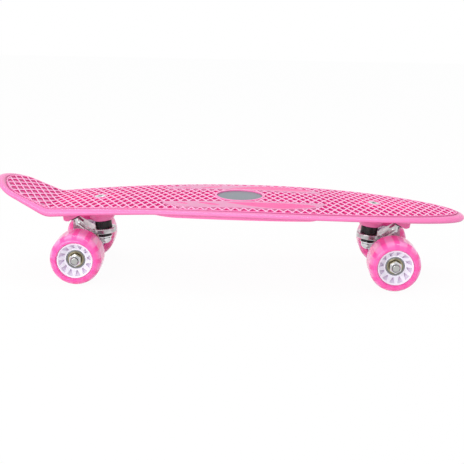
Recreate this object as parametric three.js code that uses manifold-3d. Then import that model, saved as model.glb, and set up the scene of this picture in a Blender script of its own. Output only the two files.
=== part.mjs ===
// A 22 inch moulded plastic cruiser skateboard, in millimetres.
// +X points to the nose, +Y to the rider's left and +Z up. The origin is on the ground,
// under the middle of the board's length.
import * as THREE from 'three';
import { mergeVertices } from 'three/addons/utils/BufferGeometryUtils.js';
import Module from 'manifold-3d';

const wasm = await Module();
wasm.setup();

// Fits and fineness
const gap = 0.3; // between neighbouring pieces that touch or turn on each other
const overrun = 2; // how far a cutting shape stands past the face it opens
const weld = 0.0001; // vertices closer than this are one
const wheelFacets = 18; // round tyres, cores and bosses
const boltFacets = 12; // round bolts, bushings and bearings
const smallFacets = 8; // round small rings inside the wheels

// Deck, seen from above
const boardLength = 560;
const fieldWidth = 148; // across the textured field at its widest
const tailWidth = 82; // across the field at the tail's shoulders
const flangeWidth = 6; // from the field's edge out to the rim, at the sides
const tipFlangeGain = 1.5; // what the flange is wider by at nose and tail
const tailCornerLength = 21;
const widestPlace = 51; // ahead of the middle

// Deck, seen from the side
const topHeight = 94.5; // the deck's highest place above the ground
const camberRadius = 2600;
const camberCentre = -4;
const crownRadius = 1000; // across the deck, which is higher in its middle
const kickLength = 67; // the kicked-up tail, measured along X
const kickAngle = THREE.MathUtils.degToRad(24);
const bendLength = 10;
const plateThickness = 5;
const rimDrop = 5.4; // from the field down to the rim's lowest edge, along the sides
const rimBendGain = 4.6; // what the rim is deeper by where the tail kicks up
const rimBendTail = 55; // over this length behind the bend it falls back to the sides' depth
const rimBendNose = 125; // and over this length ahead of it
const rimNoseGain = 4; // what the rim is deeper by at the nose's tip
const rimNoseLength = 190; // over which that gain builds up

// Diamond lattice moulded into the field
const cellLength = 30.6; // a diamond along the board
const cellWidth = 60; // and across it
const latticeRib = 2.2; // a rib's width at its foot; it narrows to a ridge
const latticeDepth = 1.8;
const edgeRibRise = 0.15; // the rib that frames the field stands this far over the lattice
const landWidth = 2.2; // the flat ring round each kingpin's head

// Ribs under the deck
const keelDrop = 13.2; // from the deck's highest place down to the ribs' flat lower edges
const ribTailGap = 74; // from the rear axle ahead to the first rib
const ribNoseGap = 88; // from the last rib ahead to the front axle
const ribThickness = 3;
const keelWidth = 12;
const sideRibInset = 1.5; // inside the field's edge
const crossRibCount = 6;
const ribTailTaper = 44; // the length over which the ribs run out into the plate at the tail end
const ribNoseTaper = 14; // and at the nose end

// Badge in the middle of the deck
const badgePlace = 9.5;
const badgeDiameter = 54;
const badgeThickness = 1.5;
const badgeSink = 1.3; // its face under the ring that frames it
const badgeRingWidth = 3;
const badgeRingRise = 0.4;

// Smooth pads beside the badge
const padRise = 0.3;
const padTail = -84;
const padNose = 109;
const padInside = 29.5;
const padMargin = 12; // between a pad and the field's edge

// Wheels
const noseOverhangLength = 90; // from the front axle ahead to the nose's tip
const tailOverhangLength = 102; // from the tail's tip ahead to the rear axle
const wheelDiameter = 60;
const wheelWidth = 44;
const shoulderRadius = 11;
const coreDiameter = 41.4;
const coreSink = 2.3; // the core's face under the tyre's face
const coreRim = 1.6;
const hubWall = 2.2; // of the core round its bearings
const pocketCount = 12;
const pocketDepth = 3.2;

// Bearings and axle
const bearingDiameter = 22;
const bearingWidth = 7;
const innerRingDiameter = 12;
const axleDiameter = 8;
const axleTail = 1.6; // what stands out of the nut
const bearingSpacing = 10; // length of the spacer between the two bearings
const spacerDiameter = 10.5;
const washerDiameter = 11.5;
const washerThickness = 0.8;
const axleNutFlats = 13;
const axleNutHeight = 7;

// Hanger
const hangerWidth = 84;
const housingDiameter = 19;
const neckDiameter = 14;
const neckLength = 10;
const ringDiameter = 29;
const ringThickness = 6;
const ringSetback = 23.6; // from the axle to the ring, towards the board's middle
const ringRise = 18.4; // of the ring above the axle
const seatDepth = 1.5; // of the bushing seats in the ring
const bushingRoom = 1.5; // round the upper bushing where the arm rises past it
const armWidth = 22;
const armTipWidth = 13;
const armHeight = 7;
const webThickness = 7;
const gussetThickness = 5;
const gussetSpread = 27;

// Pivot
const pivotReach = 12; // from the axle, away from the board's middle
const pivotRise = 36.5;
const pivotTilt = THREE.MathUtils.degToRad(60); // of its stem above level
const ballDiameter = 9;
const ballUndercut = THREE.MathUtils.degToRad(30); // how far round the ball goes below its middle
const stemDiameter = 7.5;
const stemLength = 9;
const cupDiameter = 13.4;
const cupDepth = 8;
const cupFlangeDiameter = 15.4;
const cupFlangeThickness = 1.6;

// Kingpin and what it carries
const kingpinLean = THREE.MathUtils.degToRad(6);
const kingpinDiameter = 8;
const headDiameter = 13.6;
const headHeight = 4.4;
const headSink = 0.2;
const socketFlats = 5;
const socketDepth = 2.4;
const kingpinTail = 1.2; // what stands out of the nut
const ringBore = 11.4;
const upperBushingDiameter = 20;
const upperBushingHeight = 10.4;
const lowerBushingDiameter = 15.6;
const lowerBushingHeight = 6;
const cupWasherDiameter = 18;
const cupWasherThickness = 1.6;
const kingpinNutFlats = 13;
const kingpinNutHeight = 5.5;

// Truck base moulded under the deck
const bossDiameter = 31;
const bossFootDiameter = 25;
const bossTaper = 5;
const baseWidth = 40;
const baseDepth = 12; // of the raised base under the plate
const baseOverhang = 20; // past the kingpin towards the board's middle
const housingWidth = 26;
const housingLength = 13;
const housingFoot = 31.5; // its outer edge's foot above the axle
const housingSlope = 3;

// Values that follow from those sizes
const wheelRadius = wheelDiameter / 2;
const ballRadius = ballDiameter / 2;
const axleHeight = wheelRadius;
const fieldHalf = fieldWidth / 2;
const boardHalf = boardLength / 2;
const kickStart = kickLength - boardHalf;
const keelHeight = topHeight - keelDrop;
const frontAxle = boardHalf - noseOverhangLength;
const rearAxle = tailOverhangLength - boardHalf;
const ribStart = rearAxle + ribTailGap;
const ribEnd = frontAxle - ribNoseGap;

// Turns a three.js geometry into a closed mesh with shared vertices and outward faces.
function closed(geometry) {
  const bare = geometry.clone();
  bare.deleteAttribute('normal');
  bare.deleteAttribute('uv');
  const merged = mergeVertices(bare, weld);
  const position = merged.attributes.position;
  const [a, b, c] = [new THREE.Vector3(), new THREE.Vector3(), new THREE.Vector3()];
  const index = [];
  let volume = 0;
  for (let i = 0; i < merged.index.count; i += 3) {
    const [u, v, w] = [0, 1, 2].map((k) => merged.index.getX(i + k));
    if (u === v || v === w || w === u) continue;
    index.push(u, v, w);
    a.fromBufferAttribute(position, u);
    b.fromBufferAttribute(position, v);
    c.fromBufferAttribute(position, w);
    volume += a.dot(b.cross(c));
  }
  merged.setIndex(volume < 0 ? index.reverse() : index);
  return merged;
}

function solid(geometry) {
  const mesh = closed(geometry);
  return new wasm.Manifold(new wasm.Mesh({
    numProp: 3,
    vertProperties: new Float32Array(mesh.attributes.position.array),
    triVerts: new Uint32Array(mesh.index.array),
  }));
}

function geometryOf(body) {
  const { vertProperties, triVerts } = body.getMesh();
  const geometry = new THREE.BufferGeometry();
  geometry.setAttribute('position', new THREE.BufferAttribute(vertProperties, 3));
  geometry.setIndex(new THREE.BufferAttribute(triVerts, 1));
  return geometry;
}

// A solid turned about Z from its profile of radius and height.
function turned(profile, facets) {
  const points = profile.map(([r, z]) => new THREE.Vector2(r, z));
  return new THREE.LatheGeometry(points, facets).rotateX(Math.PI / 2);
}

// The same, turned about Y.
function turnedAcross(profile, facets) {
  return turned(profile, facets).rotateX(-Math.PI / 2);
}

// A ring's or a sleeve's closed profile between two radii and two heights.
function tube(inner, outer, low, high) {
  return [[inner, low], [outer, low], [outer, high], [inner, high], [inner, low]];
}

function rod(radius, low, high) {
  return [[0, low], [radius, low], [radius, high], [0, high]];
}

function shapeOf(points) {
  return new THREE.Shape(points.map(([x, y]) => new THREE.Vector2(x, y)));
}

// A plan outline raised from one height to another.
function upright(points, low, high) {
  const options = { depth: high - low, bevelEnabled: false };
  return new THREE.ExtrudeGeometry(shapeOf(points), options).translate(0, 0, low);
}

// A side outline, given as x and z, made wide across Y and centred on it.
function sideways(points, width) {
  const options = { depth: width, bevelEnabled: false };
  const geometry = new THREE.ExtrudeGeometry(shapeOf(points), options);
  return geometry.rotateX(Math.PI / 2).translate(0, width / 2, 0);
}

// A closed skin through rows of points, each row a closed loop of equal count. The first
// and last rows are capped by a fan, or fold shut by themselves.
function skin(rows) {
  const count = rows[0].length;
  const vertices = rows.flat().flatMap((p) => p.toArray());
  const index = [];
  for (let i = 0; i + 1 < rows.length; i += 1) {
    for (let j = 0; j < count; j += 1) {
      const [a, b] = [i * count + j, i * count + ((j + 1) % count)];
      index.push(a, b, b + count, a, b + count, a + count);
    }
  }
  const last = (rows.length - 1) * count;
  for (let j = 1; j + 1 < count; j += 1) {
    index.push(0, j + 1, j, last, last + j, last + j + 1);
  }
  const geometry = new THREE.BufferGeometry();
  geometry.setAttribute('position', new THREE.Float32BufferAttribute(vertices, 3));
  geometry.setIndex(index);
  return geometry;
}

// The deck's centre line: a long camber arc, then a short bend into the straight kick.
const camber = (x) => topHeight - (x - camberCentre) ** 2 / (2 * camberRadius);
const bendEnd = kickStart + bendLength / 2;
const bendSlope = -(bendEnd - camberCentre) / camberRadius;
const kickSlope = -Math.tan(kickAngle);

function centreLine(x) {
  if (x >= bendEnd) return { z: camber(x), slope: -(x - camberCentre) / camberRadius };
  const back = Math.max(x - bendEnd, -bendLength);
  const curve = (bendSlope - kickSlope) / (2 * bendLength);
  const z = camber(bendEnd) + bendSlope * back + curve * back ** 2;
  const straight = Math.min(x - bendEnd + bendLength, 0);
  return { z: z + kickSlope * straight, slope: bendSlope + 2 * curve * back };
}

// A place on the deck: x and y in plan, and a height along the surface's normal.
function onDeck(x, y, height) {
  const { z, slope } = centreLine(x);
  const steep = Math.hypot(1, slope);
  const crown = y ** 2 / (2 * crownRadius);
  return new THREE.Vector3(x - (height * slope) / steep, y, z - crown + height / steep);
}

// The rim's section. Each pair is a share of the flange's width and of the rim's drop.
const rimShares = [[0.36, 0.16], [0.74, 0.26], [1, 0.52], [0.95, 0.8], [0.64, 1]];
const edgeRibShare = 0.26; // the framing rib's part of the flange's width
const lipShare = 0.4; // how far out the lip's inner wall meets the plate

// The rim's drop at one place: it is deeper under the bend, and again round the nose.
function rimDropAt(x) {
  const bend = Math.abs(x - kickStart) / (x < kickStart ? rimBendTail : rimBendNose);
  const tip = boardHalf - flangeWidth - tipFlangeGain;
  const nose = THREE.MathUtils.clamp(1 - (tip - x) / rimNoseLength, 0, 1);
  return rimDrop + rimBendGain * Math.max(1 - bend, 0) + rimNoseGain * nose ** 2;
}

// How far the rim reaches past the field's tip where the deck slopes.
function tipReach(slope, drop) {
  const steep = Math.hypot(1, slope);
  const flange = flangeWidth + tipFlangeGain;
  const reaches = rimShares.map(([out, down]) => out * flange + (down * drop * slope) / steep);
  return Math.max(...reaches);
}

const tailTip = tipReach(Math.tan(kickAngle), rimDropAt(-boardHalf)) - boardHalf;
const noseTip = boardHalf - tipReach((camberCentre - boardHalf) / camberRadius, rimDropAt(boardHalf));

// Half of the field's outline, from the tail's tip along the side to the nose's tip.
const tailHalf = tailWidth / 2;
const tailShoulder = tailTip + tailCornerLength;

// Control points of the outline's three curves, as shares of the way from end to end.
const cornerShares = [[0, 0], [0, 0.37], [0.37, 0.98], [1, 1]];
const sideShares = [[0, 0], [0.33, 0.48], [0.66, 1], [1, 1]];
const noseShares = [[0, 0], [0.54, 0], [1, 0.54], [1, 1]];

function curveBetween(from, to, shares) {
  return new THREE.CubicBezierCurve(...shares.map(([along, across]) => new THREE.Vector2(
    THREE.MathUtils.lerp(from[0], to[0], along),
    THREE.MathUtils.lerp(from[1], to[1], across),
  )));
}

const tailCorner = curveBetween([tailTip, 0], [tailShoulder, tailHalf], cornerShares);
const side = curveBetween([tailShoulder, tailHalf], [widestPlace, fieldHalf], sideShares);
const noseSide = curveBetween([widestPlace, fieldHalf], [noseTip, 0], noseShares);

const cornerSteps = 5;
const sideSteps = 8;
const noseSteps = 8;
const fineSteps = 200;

// The field's half width at one place, from the tail's shoulder to the nose.
const finePoints = [...side.getPoints(fineSteps), ...noseSide.getPoints(fineSteps).slice(1)];

function fieldHalfAt(x) {
  const after = finePoints.findIndex((p) => p.x >= x);
  const [p, q] = [finePoints[Math.max(after - 1, 0)], finePoints[Math.max(after, 1)]];
  return THREE.MathUtils.mapLinear(x, p.x, q.x, p.y, q.y);
}

// Stations along the outline, with rows at the bend so that it stays crisp.
const bendPlaces = [kickStart - bendLength / 2, kickStart, bendEnd];

function outlineStations() {
  const points = tailCorner.getPoints(cornerSteps);
  bendPlaces.forEach((x) => points.push(new THREE.Vector2(x, fieldHalfAt(x))));
  for (let i = 1; i <= sideSteps; i += 1) {
    const x = THREE.MathUtils.lerp(bendEnd, widestPlace, i / sideSteps);
    points.push(new THREE.Vector2(x, fieldHalfAt(x)));
  }
  return points.concat(noseSide.getPoints(noseSteps).slice(1));
}

const stations = outlineStations();

// The outline's outward direction in plan at one station.
function outward(i) {
  if (i === 0) return new THREE.Vector2(-1, 0);
  if (i === stations.length - 1) return new THREE.Vector2(1, 0);
  const along = stations[i + 1].clone().sub(stations[i - 1]).normalize();
  return new THREE.Vector2(-along.y, along.x);
}

// A point of the section at one station: out past the field's edge, and up along the normal.
function rimPoint(i, out, height) {
  const direction = outward(i);
  const place = stations[i].clone().addScaledVector(direction, out);
  return new THREE.Vector2(place.x, Math.max(place.y, 0)).toArray().concat(height);
}

const flangeAt = (i) => flangeWidth + tipFlangeGain * outward(i).x ** 2;

const plateColumns = 2;
const panelFootShare = 0.75; // how deep in the plate the lattice panel's own underside lies
const panelFoot = plateThickness * panelFootShare;
const fieldRoot = (latticeDepth + panelFoot) / 2; // how deep the bare plate's top lies

// The plate that the lattice lies in, with the framing rib, flange, rim and lip, as a skin of
// closed sections.
function deckPlate() {
  const rows = stations.map((station, i) => {
    const flange = flangeAt(i);
    const drop = rimDropAt(station.x);
    const half = [];
    for (let k = 0; k < plateColumns; k += 1) {
      half.push([station.x, (station.y * k) / plateColumns, -fieldRoot]);
    }
    half.push(rimPoint(i, 0, -fieldRoot), rimPoint(i, 0, edgeRibRise));
    half.push(rimPoint(i, edgeRibShare * flange, edgeRibRise));
    rimShares.forEach(([out, down]) => half.push(rimPoint(i, out * flange, -down * drop)));
    half.push(rimPoint(i, lipShare * flange, -plateThickness));
    for (let k = plateColumns - 1; k >= 0; k -= 1) {
      half.push([station.x, (station.y * k) / plateColumns, -plateThickness]);
    }
    const left = half.map(([x, y, h]) => onDeck(x, y, h));
    const right = half.slice(1, -1).reverse().map(([x, y, h]) => onDeck(x, -y, h));
    return left.concat(right);
  });
  return solid(skin(rows));
}

// The lattice as a flat panel of diamonds, before it is laid on the deck. u and v count the
// ribs of the two families, which cross at whole numbers.
const diamond = [[0, 0], [1, 0], [1, 1], [0, 1]];

function cellPoint(u, v, height) {
  return new THREE.Vector3((cellLength * (u + v)) / 2, (cellWidth * (u - v)) / 2, height);
}

function inPanel(i, j) {
  const middle = cellPoint(i + 1 / 2, j + 1 / 2, 0);
  const alongside = Math.abs(middle.x) < boardHalf + cellLength / 2;
  return alongside && Math.abs(middle.y) < fieldHalf + cellWidth / 2;
}

function latticePanel() {
  const pitch = (cellLength * cellWidth) / Math.hypot(cellLength, cellWidth);
  const inset = latticeRib / 2 / pitch;
  const dip = -(plateThickness + panelFoot) / 2;
  const reach = Math.ceil(boardLength / cellLength);
  const points = [];
  const addQuad = (a, b, c, d) => points.push(a, b, c, a, c, d);
  const addCell = (i, j) => {
    const ring = (inside, height) => diamond.map(([u, v]) => cellPoint(
      i + THREE.MathUtils.lerp(inside, 1 - inside, u),
      j + THREE.MathUtils.lerp(inside, 1 - inside, v),
      height,
    ));
    const [ridge, floor, under] = [ring(0, 0), ring(inset, -latticeDepth), ring(0, -panelFoot)];
    const middle = cellPoint(i + 1 / 2, j + 1 / 2, dip);
    const besides = [[i, j - 1], [i + 1, j], [i, j + 1], [i - 1, j]];
    addQuad(...floor);
    besides.forEach((beside, k) => {
      const next = (k + 1) % diamond.length;
      addQuad(ridge[k], ridge[next], floor[next], floor[k]);
      points.push(under[next], under[k], middle);
      if (!inPanel(...beside)) addQuad(under[k], under[next], ridge[next], ridge[k]);
    });
  };
  for (let i = -reach; i < reach; i += 1) {
    for (let j = -reach; j < reach; j += 1) {
      if (inPanel(i, j)) addCell(i, j);
    }
  }
  return new THREE.BufferGeometry().setFromPoints(points);
}

// Splits the triangles that cross a plane of constant x, so that the panel can bend there.
function splitAt(geometry, plane) {
  const { position } = geometry.toNonIndexed().attributes;
  const crossing = (p, q) => {
    const [from, to] = p.x < q.x ? [p, q] : [q, p];
    return from.clone().lerp(to, (plane - from.x) / (to.x - from.x));
  };
  const points = [];
  for (let i = 0; i < position.count; i += 3) {
    const corners = [0, 1, 2].map((k) => new THREE.Vector3().fromBufferAttribute(position, i + k));
    const ahead = corners.map((p) => p.x > plane);
    const crosses = ahead.includes(true) && ahead.includes(false);
    const lone = ahead.filter((side) => side).length === 1 ? ahead.indexOf(true) : ahead.indexOf(false);
    const [a, b, c] = [0, 1, 2].map((k) => corners[(Math.max(lone, 0) + k) % 3]);
    if (crosses) {
      const [p, q] = [crossing(a, b), crossing(a, c)];
      points.push(a, p, q, p, b, c, p, c, q);
    } else {
      points.push(a, b, c);
    }
  }
  return closed(new THREE.BufferGeometry().setFromPoints(points));
}

// The flat ring's own disc under each kingpin's head, on the flat panel.
function kingpinLand(truck) {
  const x = ringCentre.x + Math.sin(kingpinLean) * deckAlongKingpin(truck);
  const land = turned(rod(headDiameter / 2 + gap + landWidth, -panelFoot, edgeRibRise), wheelFacets);
  return solid(land.translate(truck.place + Math.cos(truck.turn) * x, 0, 0));
}

// The lattice laid on the deck: the panel is cut to the field, and its flat places are bent.
function deckLattice() {
  const middle = stations.map((_, i) => rimPoint(i, (edgeRibShare * flangeAt(i)) / 2, 0));
  const outline = middle.concat(middle.slice(1, -1).reverse().map(([x, y]) => [x, -y]));
  const field = solid(upright(outline, -plateThickness - overrun, overrun));
  const cut = solid(latticePanel()).intersect(field);
  const flat = trucks.map(kingpinLand).reduce((body, land) => body.add(land), cut);
  const geometry = bendPlaces.reduce(splitAt, geometryOf(flat));
  const { position } = geometry.attributes;
  for (let i = 0; i < position.count; i += 1) {
    const place = onDeck(position.getX(i), position.getY(i), position.getZ(i));
    position.setXYZ(i, place.x, place.y, place.z);
  }
  return solid(geometry);
}

const ribRootShare = 0.5; // how deep in the plate a rib's root lies

const ribTipShare = 0.8; // how deep in the plate the ribs' lower edges run out

// How much of its full depth a rib has at one place: a quarter round at both of its ends.
function ribDepthAt(x) {
  const tail = Math.min((x - ribStart) / ribTailTaper, 1);
  const nose = Math.min((ribEnd - x) / ribNoseTaper, 1);
  return Math.min(Math.sin((tail * Math.PI) / 2), Math.sqrt(1 - (1 - nose) ** 2));
}

// A rib under the plate along a plan path, from inside the plate down to a common level.
function hangingRib(path, thickness) {
  const root = -plateThickness * ribRootShare;
  return skin(path.map(([x, y], i) => {
    const [before, after] = [path[Math.max(i - 1, 0)], path[Math.min(i + 1, path.length - 1)]];
    const along = new THREE.Vector2(after[0] - before[0], after[1] - before[1]).normalize();
    const [dx, dy] = [(-along.y * thickness) / 2, (along.x * thickness) / 2];
    const left = onDeck(x + dx, y + dy, root);
    const right = onDeck(x - dx, y - dy, root);
    const tip = onDeck(x, y, -plateThickness * ribTipShare).z;
    const foot = THREE.MathUtils.lerp(tip, keelHeight, ribDepthAt(x));
    return [left, right, right.clone().setZ(foot), left.clone().setZ(foot)];
  }));
}

// The ribs between the trucks, with one straight lower edge: side walls, a keel and cross ribs.
const ribTailSteps = 4;
const ribSteps = 4;
const ribNoseSteps = 3;
const crossSteps = 2;

function underRibs() {
  const span = (steps) => Array.from({ length: steps + 1 }, (_, i) => i / steps);
  const spread = (from, to, steps) => span(steps).map((share) => THREE.MathUtils.lerp(from, to, share));
  const sideAt = (x) => fieldHalfAt(x) - sideRibInset - ribThickness / 2;
  const [first, last] = [ribStart + ribTailTaper, ribEnd - ribNoseTaper];
  const places = [
    ...spread(ribStart, first, ribTailSteps), ...spread(first, last, ribSteps).slice(1),
    ...spread(last, ribEnd, ribNoseSteps).slice(1),
  ];
  const ribs = [
    hangingRib(places.map((x) => [x, sideAt(x)]), ribThickness),
    hangingRib(places.map((x) => [x, -sideAt(x)]), ribThickness),
    hangingRib(places.map((x) => [x, 0]), keelWidth),
  ];
  spread(first, last, crossRibCount - 1).forEach((x) => {
    const path = span(crossSteps).map((across) => [x, sideAt(x) * (2 * across - 1)]);
    ribs.push(hangingRib(path, ribThickness));
  });
  return ribs.map(solid);
}

// Trucks. A truck is laid out with its axle over the origin of its own frame and +X
// pointing away from the board's middle, then turned and moved into place.
const trucks = [
  { name: 'front', place: frontAxle, turn: 0 },
  { name: 'rear', place: rearAxle, turn: Math.PI },
];

const ringCentre = new THREE.Vector3(-ringSetback, 0, axleHeight + ringRise);
const pivotCentre = new THREE.Vector3(pivotReach, 0, axleHeight + pivotRise);

// Moves a shape made along Z onto the leaning kingpin, its zero at the ring's centre.
function onKingpin(geometry) {
  return geometry.rotateY(kingpinLean).translate(ringCentre.x, ringCentre.y, ringCentre.z);
}

// Moves a shape made along Z onto the pivot's stem, its zero at the ball's centre.
function onPivot(geometry) {
  const turn = Math.PI / 2 - pivotTilt;
  return geometry.rotateY(turn).translate(pivotCentre.x, pivotCentre.y, pivotCentre.z);
}

// Heights of the kingpin's stack, measured along it from the ring's centre.
const upperSeat = ringThickness / 2 - seatDepth;
const upperFoot = upperSeat + gap;
const bossFoot = upperFoot + upperBushingHeight + gap;
const lowerTop = -upperFoot;
const washerTop = lowerTop - lowerBushingHeight - gap;
const nutTop = washerTop - cupWasherThickness - gap;
const kingpinEnd = nutTop - kingpinNutHeight - kingpinTail;

// How far up the kingpin's line the deck's top lies, found by stepping onto the surface.
function deckAlongKingpin(truck) {
  const lean = new THREE.Vector3(Math.sin(kingpinLean), 0, Math.cos(kingpinLean));
  const outwards = Math.cos(truck.turn);
  let reach = topHeight - ringCentre.z;
  for (let i = 0; i < fineSteps; i += 1) {
    const point = ringCentre.clone().addScaledVector(lean, reach);
    reach += centreLine(truck.place + outwards * point.x).z - point.z;
  }
  return reach;
}

function settle(geometry, truck) {
  return geometry.rotateZ(truck.turn).translate(truck.place, 0, 0);
}

const bossRootShare = 0.7; // how deep in the plate a leaning boss's root lies

// The boss, base and pivot housing moulded under the deck for one truck.
function truckBase(truck) {
  const root = deckAlongKingpin(truck) - plateThickness * bossRootShare;
  const boss = onKingpin(turned([
    [0, bossFoot], [bossFootDiameter / 2, bossFoot], [bossDiameter / 2, bossFoot + bossTaper],
    [bossDiameter / 2, root], [0, root],
  ], wheelFacets));
  const outwards = Math.cos(truck.turn);
  const plateAt = (x) => onDeck(truck.place + outwards * x, 0, -plateThickness).z;
  const inner = ringCentre.x - baseOverhang;
  const outer = pivotCentre.x + housingLength / 2;
  const sunk = plateThickness * (1 - ribRootShare);
  const base = sideways([
    [inner, plateAt(inner) + sunk], [inner, plateAt(inner)],
    [inner + baseDepth, plateAt(inner) - baseDepth],
    [outer, plateAt(outer) - baseDepth], [outer + baseDepth / 2, plateAt(outer)],
    [outer + baseDepth / 2, plateAt(outer) + sunk],
  ], baseWidth);
  const foot = axleHeight + housingFoot;
  const seatDrop = new THREE.Vector2(Math.sin(pivotTilt), -Math.cos(pivotTilt));
  const seatMiddle = onPivotSeat();
  const halfSeat = cupFlangeDiameter / 2 + gap;
  const low = seatMiddle.clone().addScaledVector(seatDrop, halfSeat);
  const high = seatMiddle.clone().addScaledVector(seatDrop, -halfSeat);
  const housing = sideways([
    [high.x, plateAt(high.x)], high.toArray(), low.toArray(), [low.x + housingSlope, low.y],
    [outer + housingSlope, foot], [outer + housingSlope * 2, plateAt(outer)],
  ], housingWidth);
  return [boss, base, housing].map((shape) => solid(settle(shape, truck)));
}

// The middle of the slanted face that the pivot cup's flange lies on, in x and z.
function onPivotSeat() {
  const lift = cupFlangeThickness + gap - ballRadius;
  return new THREE.Vector2(
    pivotCentre.x + lift * Math.cos(pivotTilt),
    pivotCentre.z + lift * Math.sin(pivotTilt),
  );
}

// What a truck's kingpin and pivot cup take out of the deck.
function truckCuts(truck) {
  const deckTop = deckAlongKingpin(truck);
  const headSeat = deckTop - headSink - headHeight - gap;
  const bore = kingpinDiameter / 2 + gap;
  const headBore = headDiameter / 2 + gap;
  const shaft = onKingpin(turned([
    [0, bossFoot - overrun], [bore, bossFoot - overrun], [bore, headSeat],
    [headBore, headSeat], [headBore, deckTop + overrun], [0, deckTop + overrun],
  ], boltFacets));
  const mouth = cupFlangeThickness + gap - ballRadius;
  const well = rod(cupDiameter / 2 + gap, mouth - overrun, mouth + cupDepth + gap);
  const flangeRoom = rod(cupFlangeDiameter / 2 + gap, -stemLength, mouth - gap / 2);
  const cups = [well, flangeRoom].map((profile) => onPivot(turned(profile, boltFacets)));
  return [shaft, ...cups].map((shape) => solid(settle(shape, truck)));
}

// The raised ring round the badge, and the well that the badge lies in.
function badgeRing() {
  const { z, slope } = centreLine(badgePlace);
  const outer = badgeDiameter / 2 + gap + badgeRingWidth;
  const root = -plateThickness * ribRootShare;
  const ring = turned(rod(outer, root, badgeRingRise), wheelFacets);
  return solid(ring.rotateY(-Math.atan(slope)).translate(badgePlace, 0, z));
}

function badgeWell() {
  const { z, slope } = centreLine(badgePlace);
  const floor = badgeRingRise - badgeSink - badgeThickness - gap;
  const well = turned(rod(badgeDiameter / 2 + gap, floor, overrun), wheelFacets);
  return solid(well.rotateY(-Math.atan(slope)).translate(badgePlace, 0, z));
}

// One smooth pad: a plan outline carried along the deck's surface.
const padSteps = 6;
const padColumns = 2;
const padEndShare = 0.45; // of its width that is left at its slanted ends

function pad(sign) {
  const root = -plateThickness * ribRootShare;
  const rows = [];
  for (let i = 0; i <= padSteps; i += 1) {
    const x = THREE.MathUtils.lerp(padTail, padNose, i / padSteps);
    const width = fieldHalfAt(x) - padMargin - padInside;
    const atEnd = i === 0 || i === padSteps;
    const far = padInside + (atEnd ? padEndShare * width : width);
    const [from, to] = sign > 0 ? [padInside, far] : [-far, -padInside];
    const row = [];
    for (let k = 0; k <= padColumns; k += 1) {
      row.push(onDeck(x, THREE.MathUtils.lerp(from, to, k / padColumns), padRise));
    }
    rows.push([...row, onDeck(x, to, root), onDeck(x, from, root)]);
  }
  return solid(skin(rows));
}

function makeDeck() {
  const added = [badgeRing(), pad(1), pad(-1), ...underRibs(), ...trucks.flatMap(truckBase)];
  const whole = added.reduce((body, piece) => body.add(piece), deckPlate().add(deckLattice()));
  const cuts = [badgeWell(), ...trucks.flatMap(truckCuts)];
  return geometryOf(cuts.reduce((body, cut) => body.subtract(cut), whole));
}

function makeBadgePlate() {
  const { z, slope } = centreLine(badgePlace);
  const face = badgeRingRise - badgeSink;
  const chamfer = badgeThickness / 3;
  const radius = badgeDiameter / 2;
  const plate = turned([
    [0, face - badgeThickness], [radius, face - badgeThickness], [radius, face - chamfer],
    [radius - chamfer, face], [0, face],
  ], wheelFacets);
  return plate.rotateY(-Math.atan(slope)).translate(badgePlace, 0, z);
}

// A kingpin bolt, from the socket in its head down to the end past the nut.
function makeKingpin(truck) {
  const top = deckAlongKingpin(truck) - headSink;
  const radius = kingpinDiameter / 2;
  const chamfer = kingpinTail / 2;
  const edge = headSink * 2;
  const bolt = solid(turned([
    [0, kingpinEnd], [radius - chamfer, kingpinEnd], [radius, kingpinEnd + chamfer],
    [radius, top - headHeight], [headDiameter / 2, top - headHeight],
    [headDiameter / 2, top - edge], [headDiameter / 2 - edge, top], [0, top],
  ], boltFacets));
  const socket = solid(turned(rod(socketFlats / Math.sqrt(3), top - socketDepth, top + overrun), 6));
  return onKingpin(geometryOf(bolt.subtract(socket)));
}

// A rubber bushing with a softly barrelled wall, bored for the kingpin.
function makeBushing(diameter, low, high) {
  const bore = kingpinDiameter / 2 + gap;
  const radius = diameter / 2;
  const edge = (high - low) / 8;
  return onKingpin(turned([
    [bore, low], [radius - edge, low], [radius, low + edge], [radius, high - edge],
    [radius - edge, high], [bore, high], [bore, low],
  ], boltFacets));
}

// The dished washer under the lower bushing.
function makeCupWasher() {
  const bore = kingpinDiameter / 2 + gap;
  const radius = cupWasherDiameter / 2;
  const foot = washerTop - cupWasherThickness;
  const lip = cupWasherThickness / 2;
  return onKingpin(turned([
    [bore, foot], [radius - lip, foot], [radius, washerTop + lip],
    [radius - cupWasherThickness, washerTop], [bore, washerTop], [bore, foot],
  ], boltFacets));
}

// A six-sided lock nut standing on Z, with the round collar of its locking ring on top.
const collarShare = 0.3;

function lockNut(flats, height, boreRadius) {
  const seat = height * (1 - collarShare);
  const bevel = seat / 6;
  const corner = flats / Math.sqrt(3);
  const hex = solid(turned([
    [0, 0], [corner - bevel, 0], [corner, bevel], [corner, seat - bevel], [corner - bevel, seat],
    [0, seat],
  ], 6));
  const collar = solid(turned(rod(flats / 2 - bevel, seat / 2, height), boltFacets));
  const bore = solid(turned(rod(boreRadius, -overrun, height + overrun), smallFacets));
  return geometryOf(hex.add(collar).subtract(bore));
}

function makeKingpinNut() {
  const nut = lockNut(kingpinNutFlats, kingpinNutHeight, kingpinDiameter / 2 + gap);
  return onKingpin(nut.rotateX(Math.PI).translate(0, 0, nutTop));
}

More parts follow.
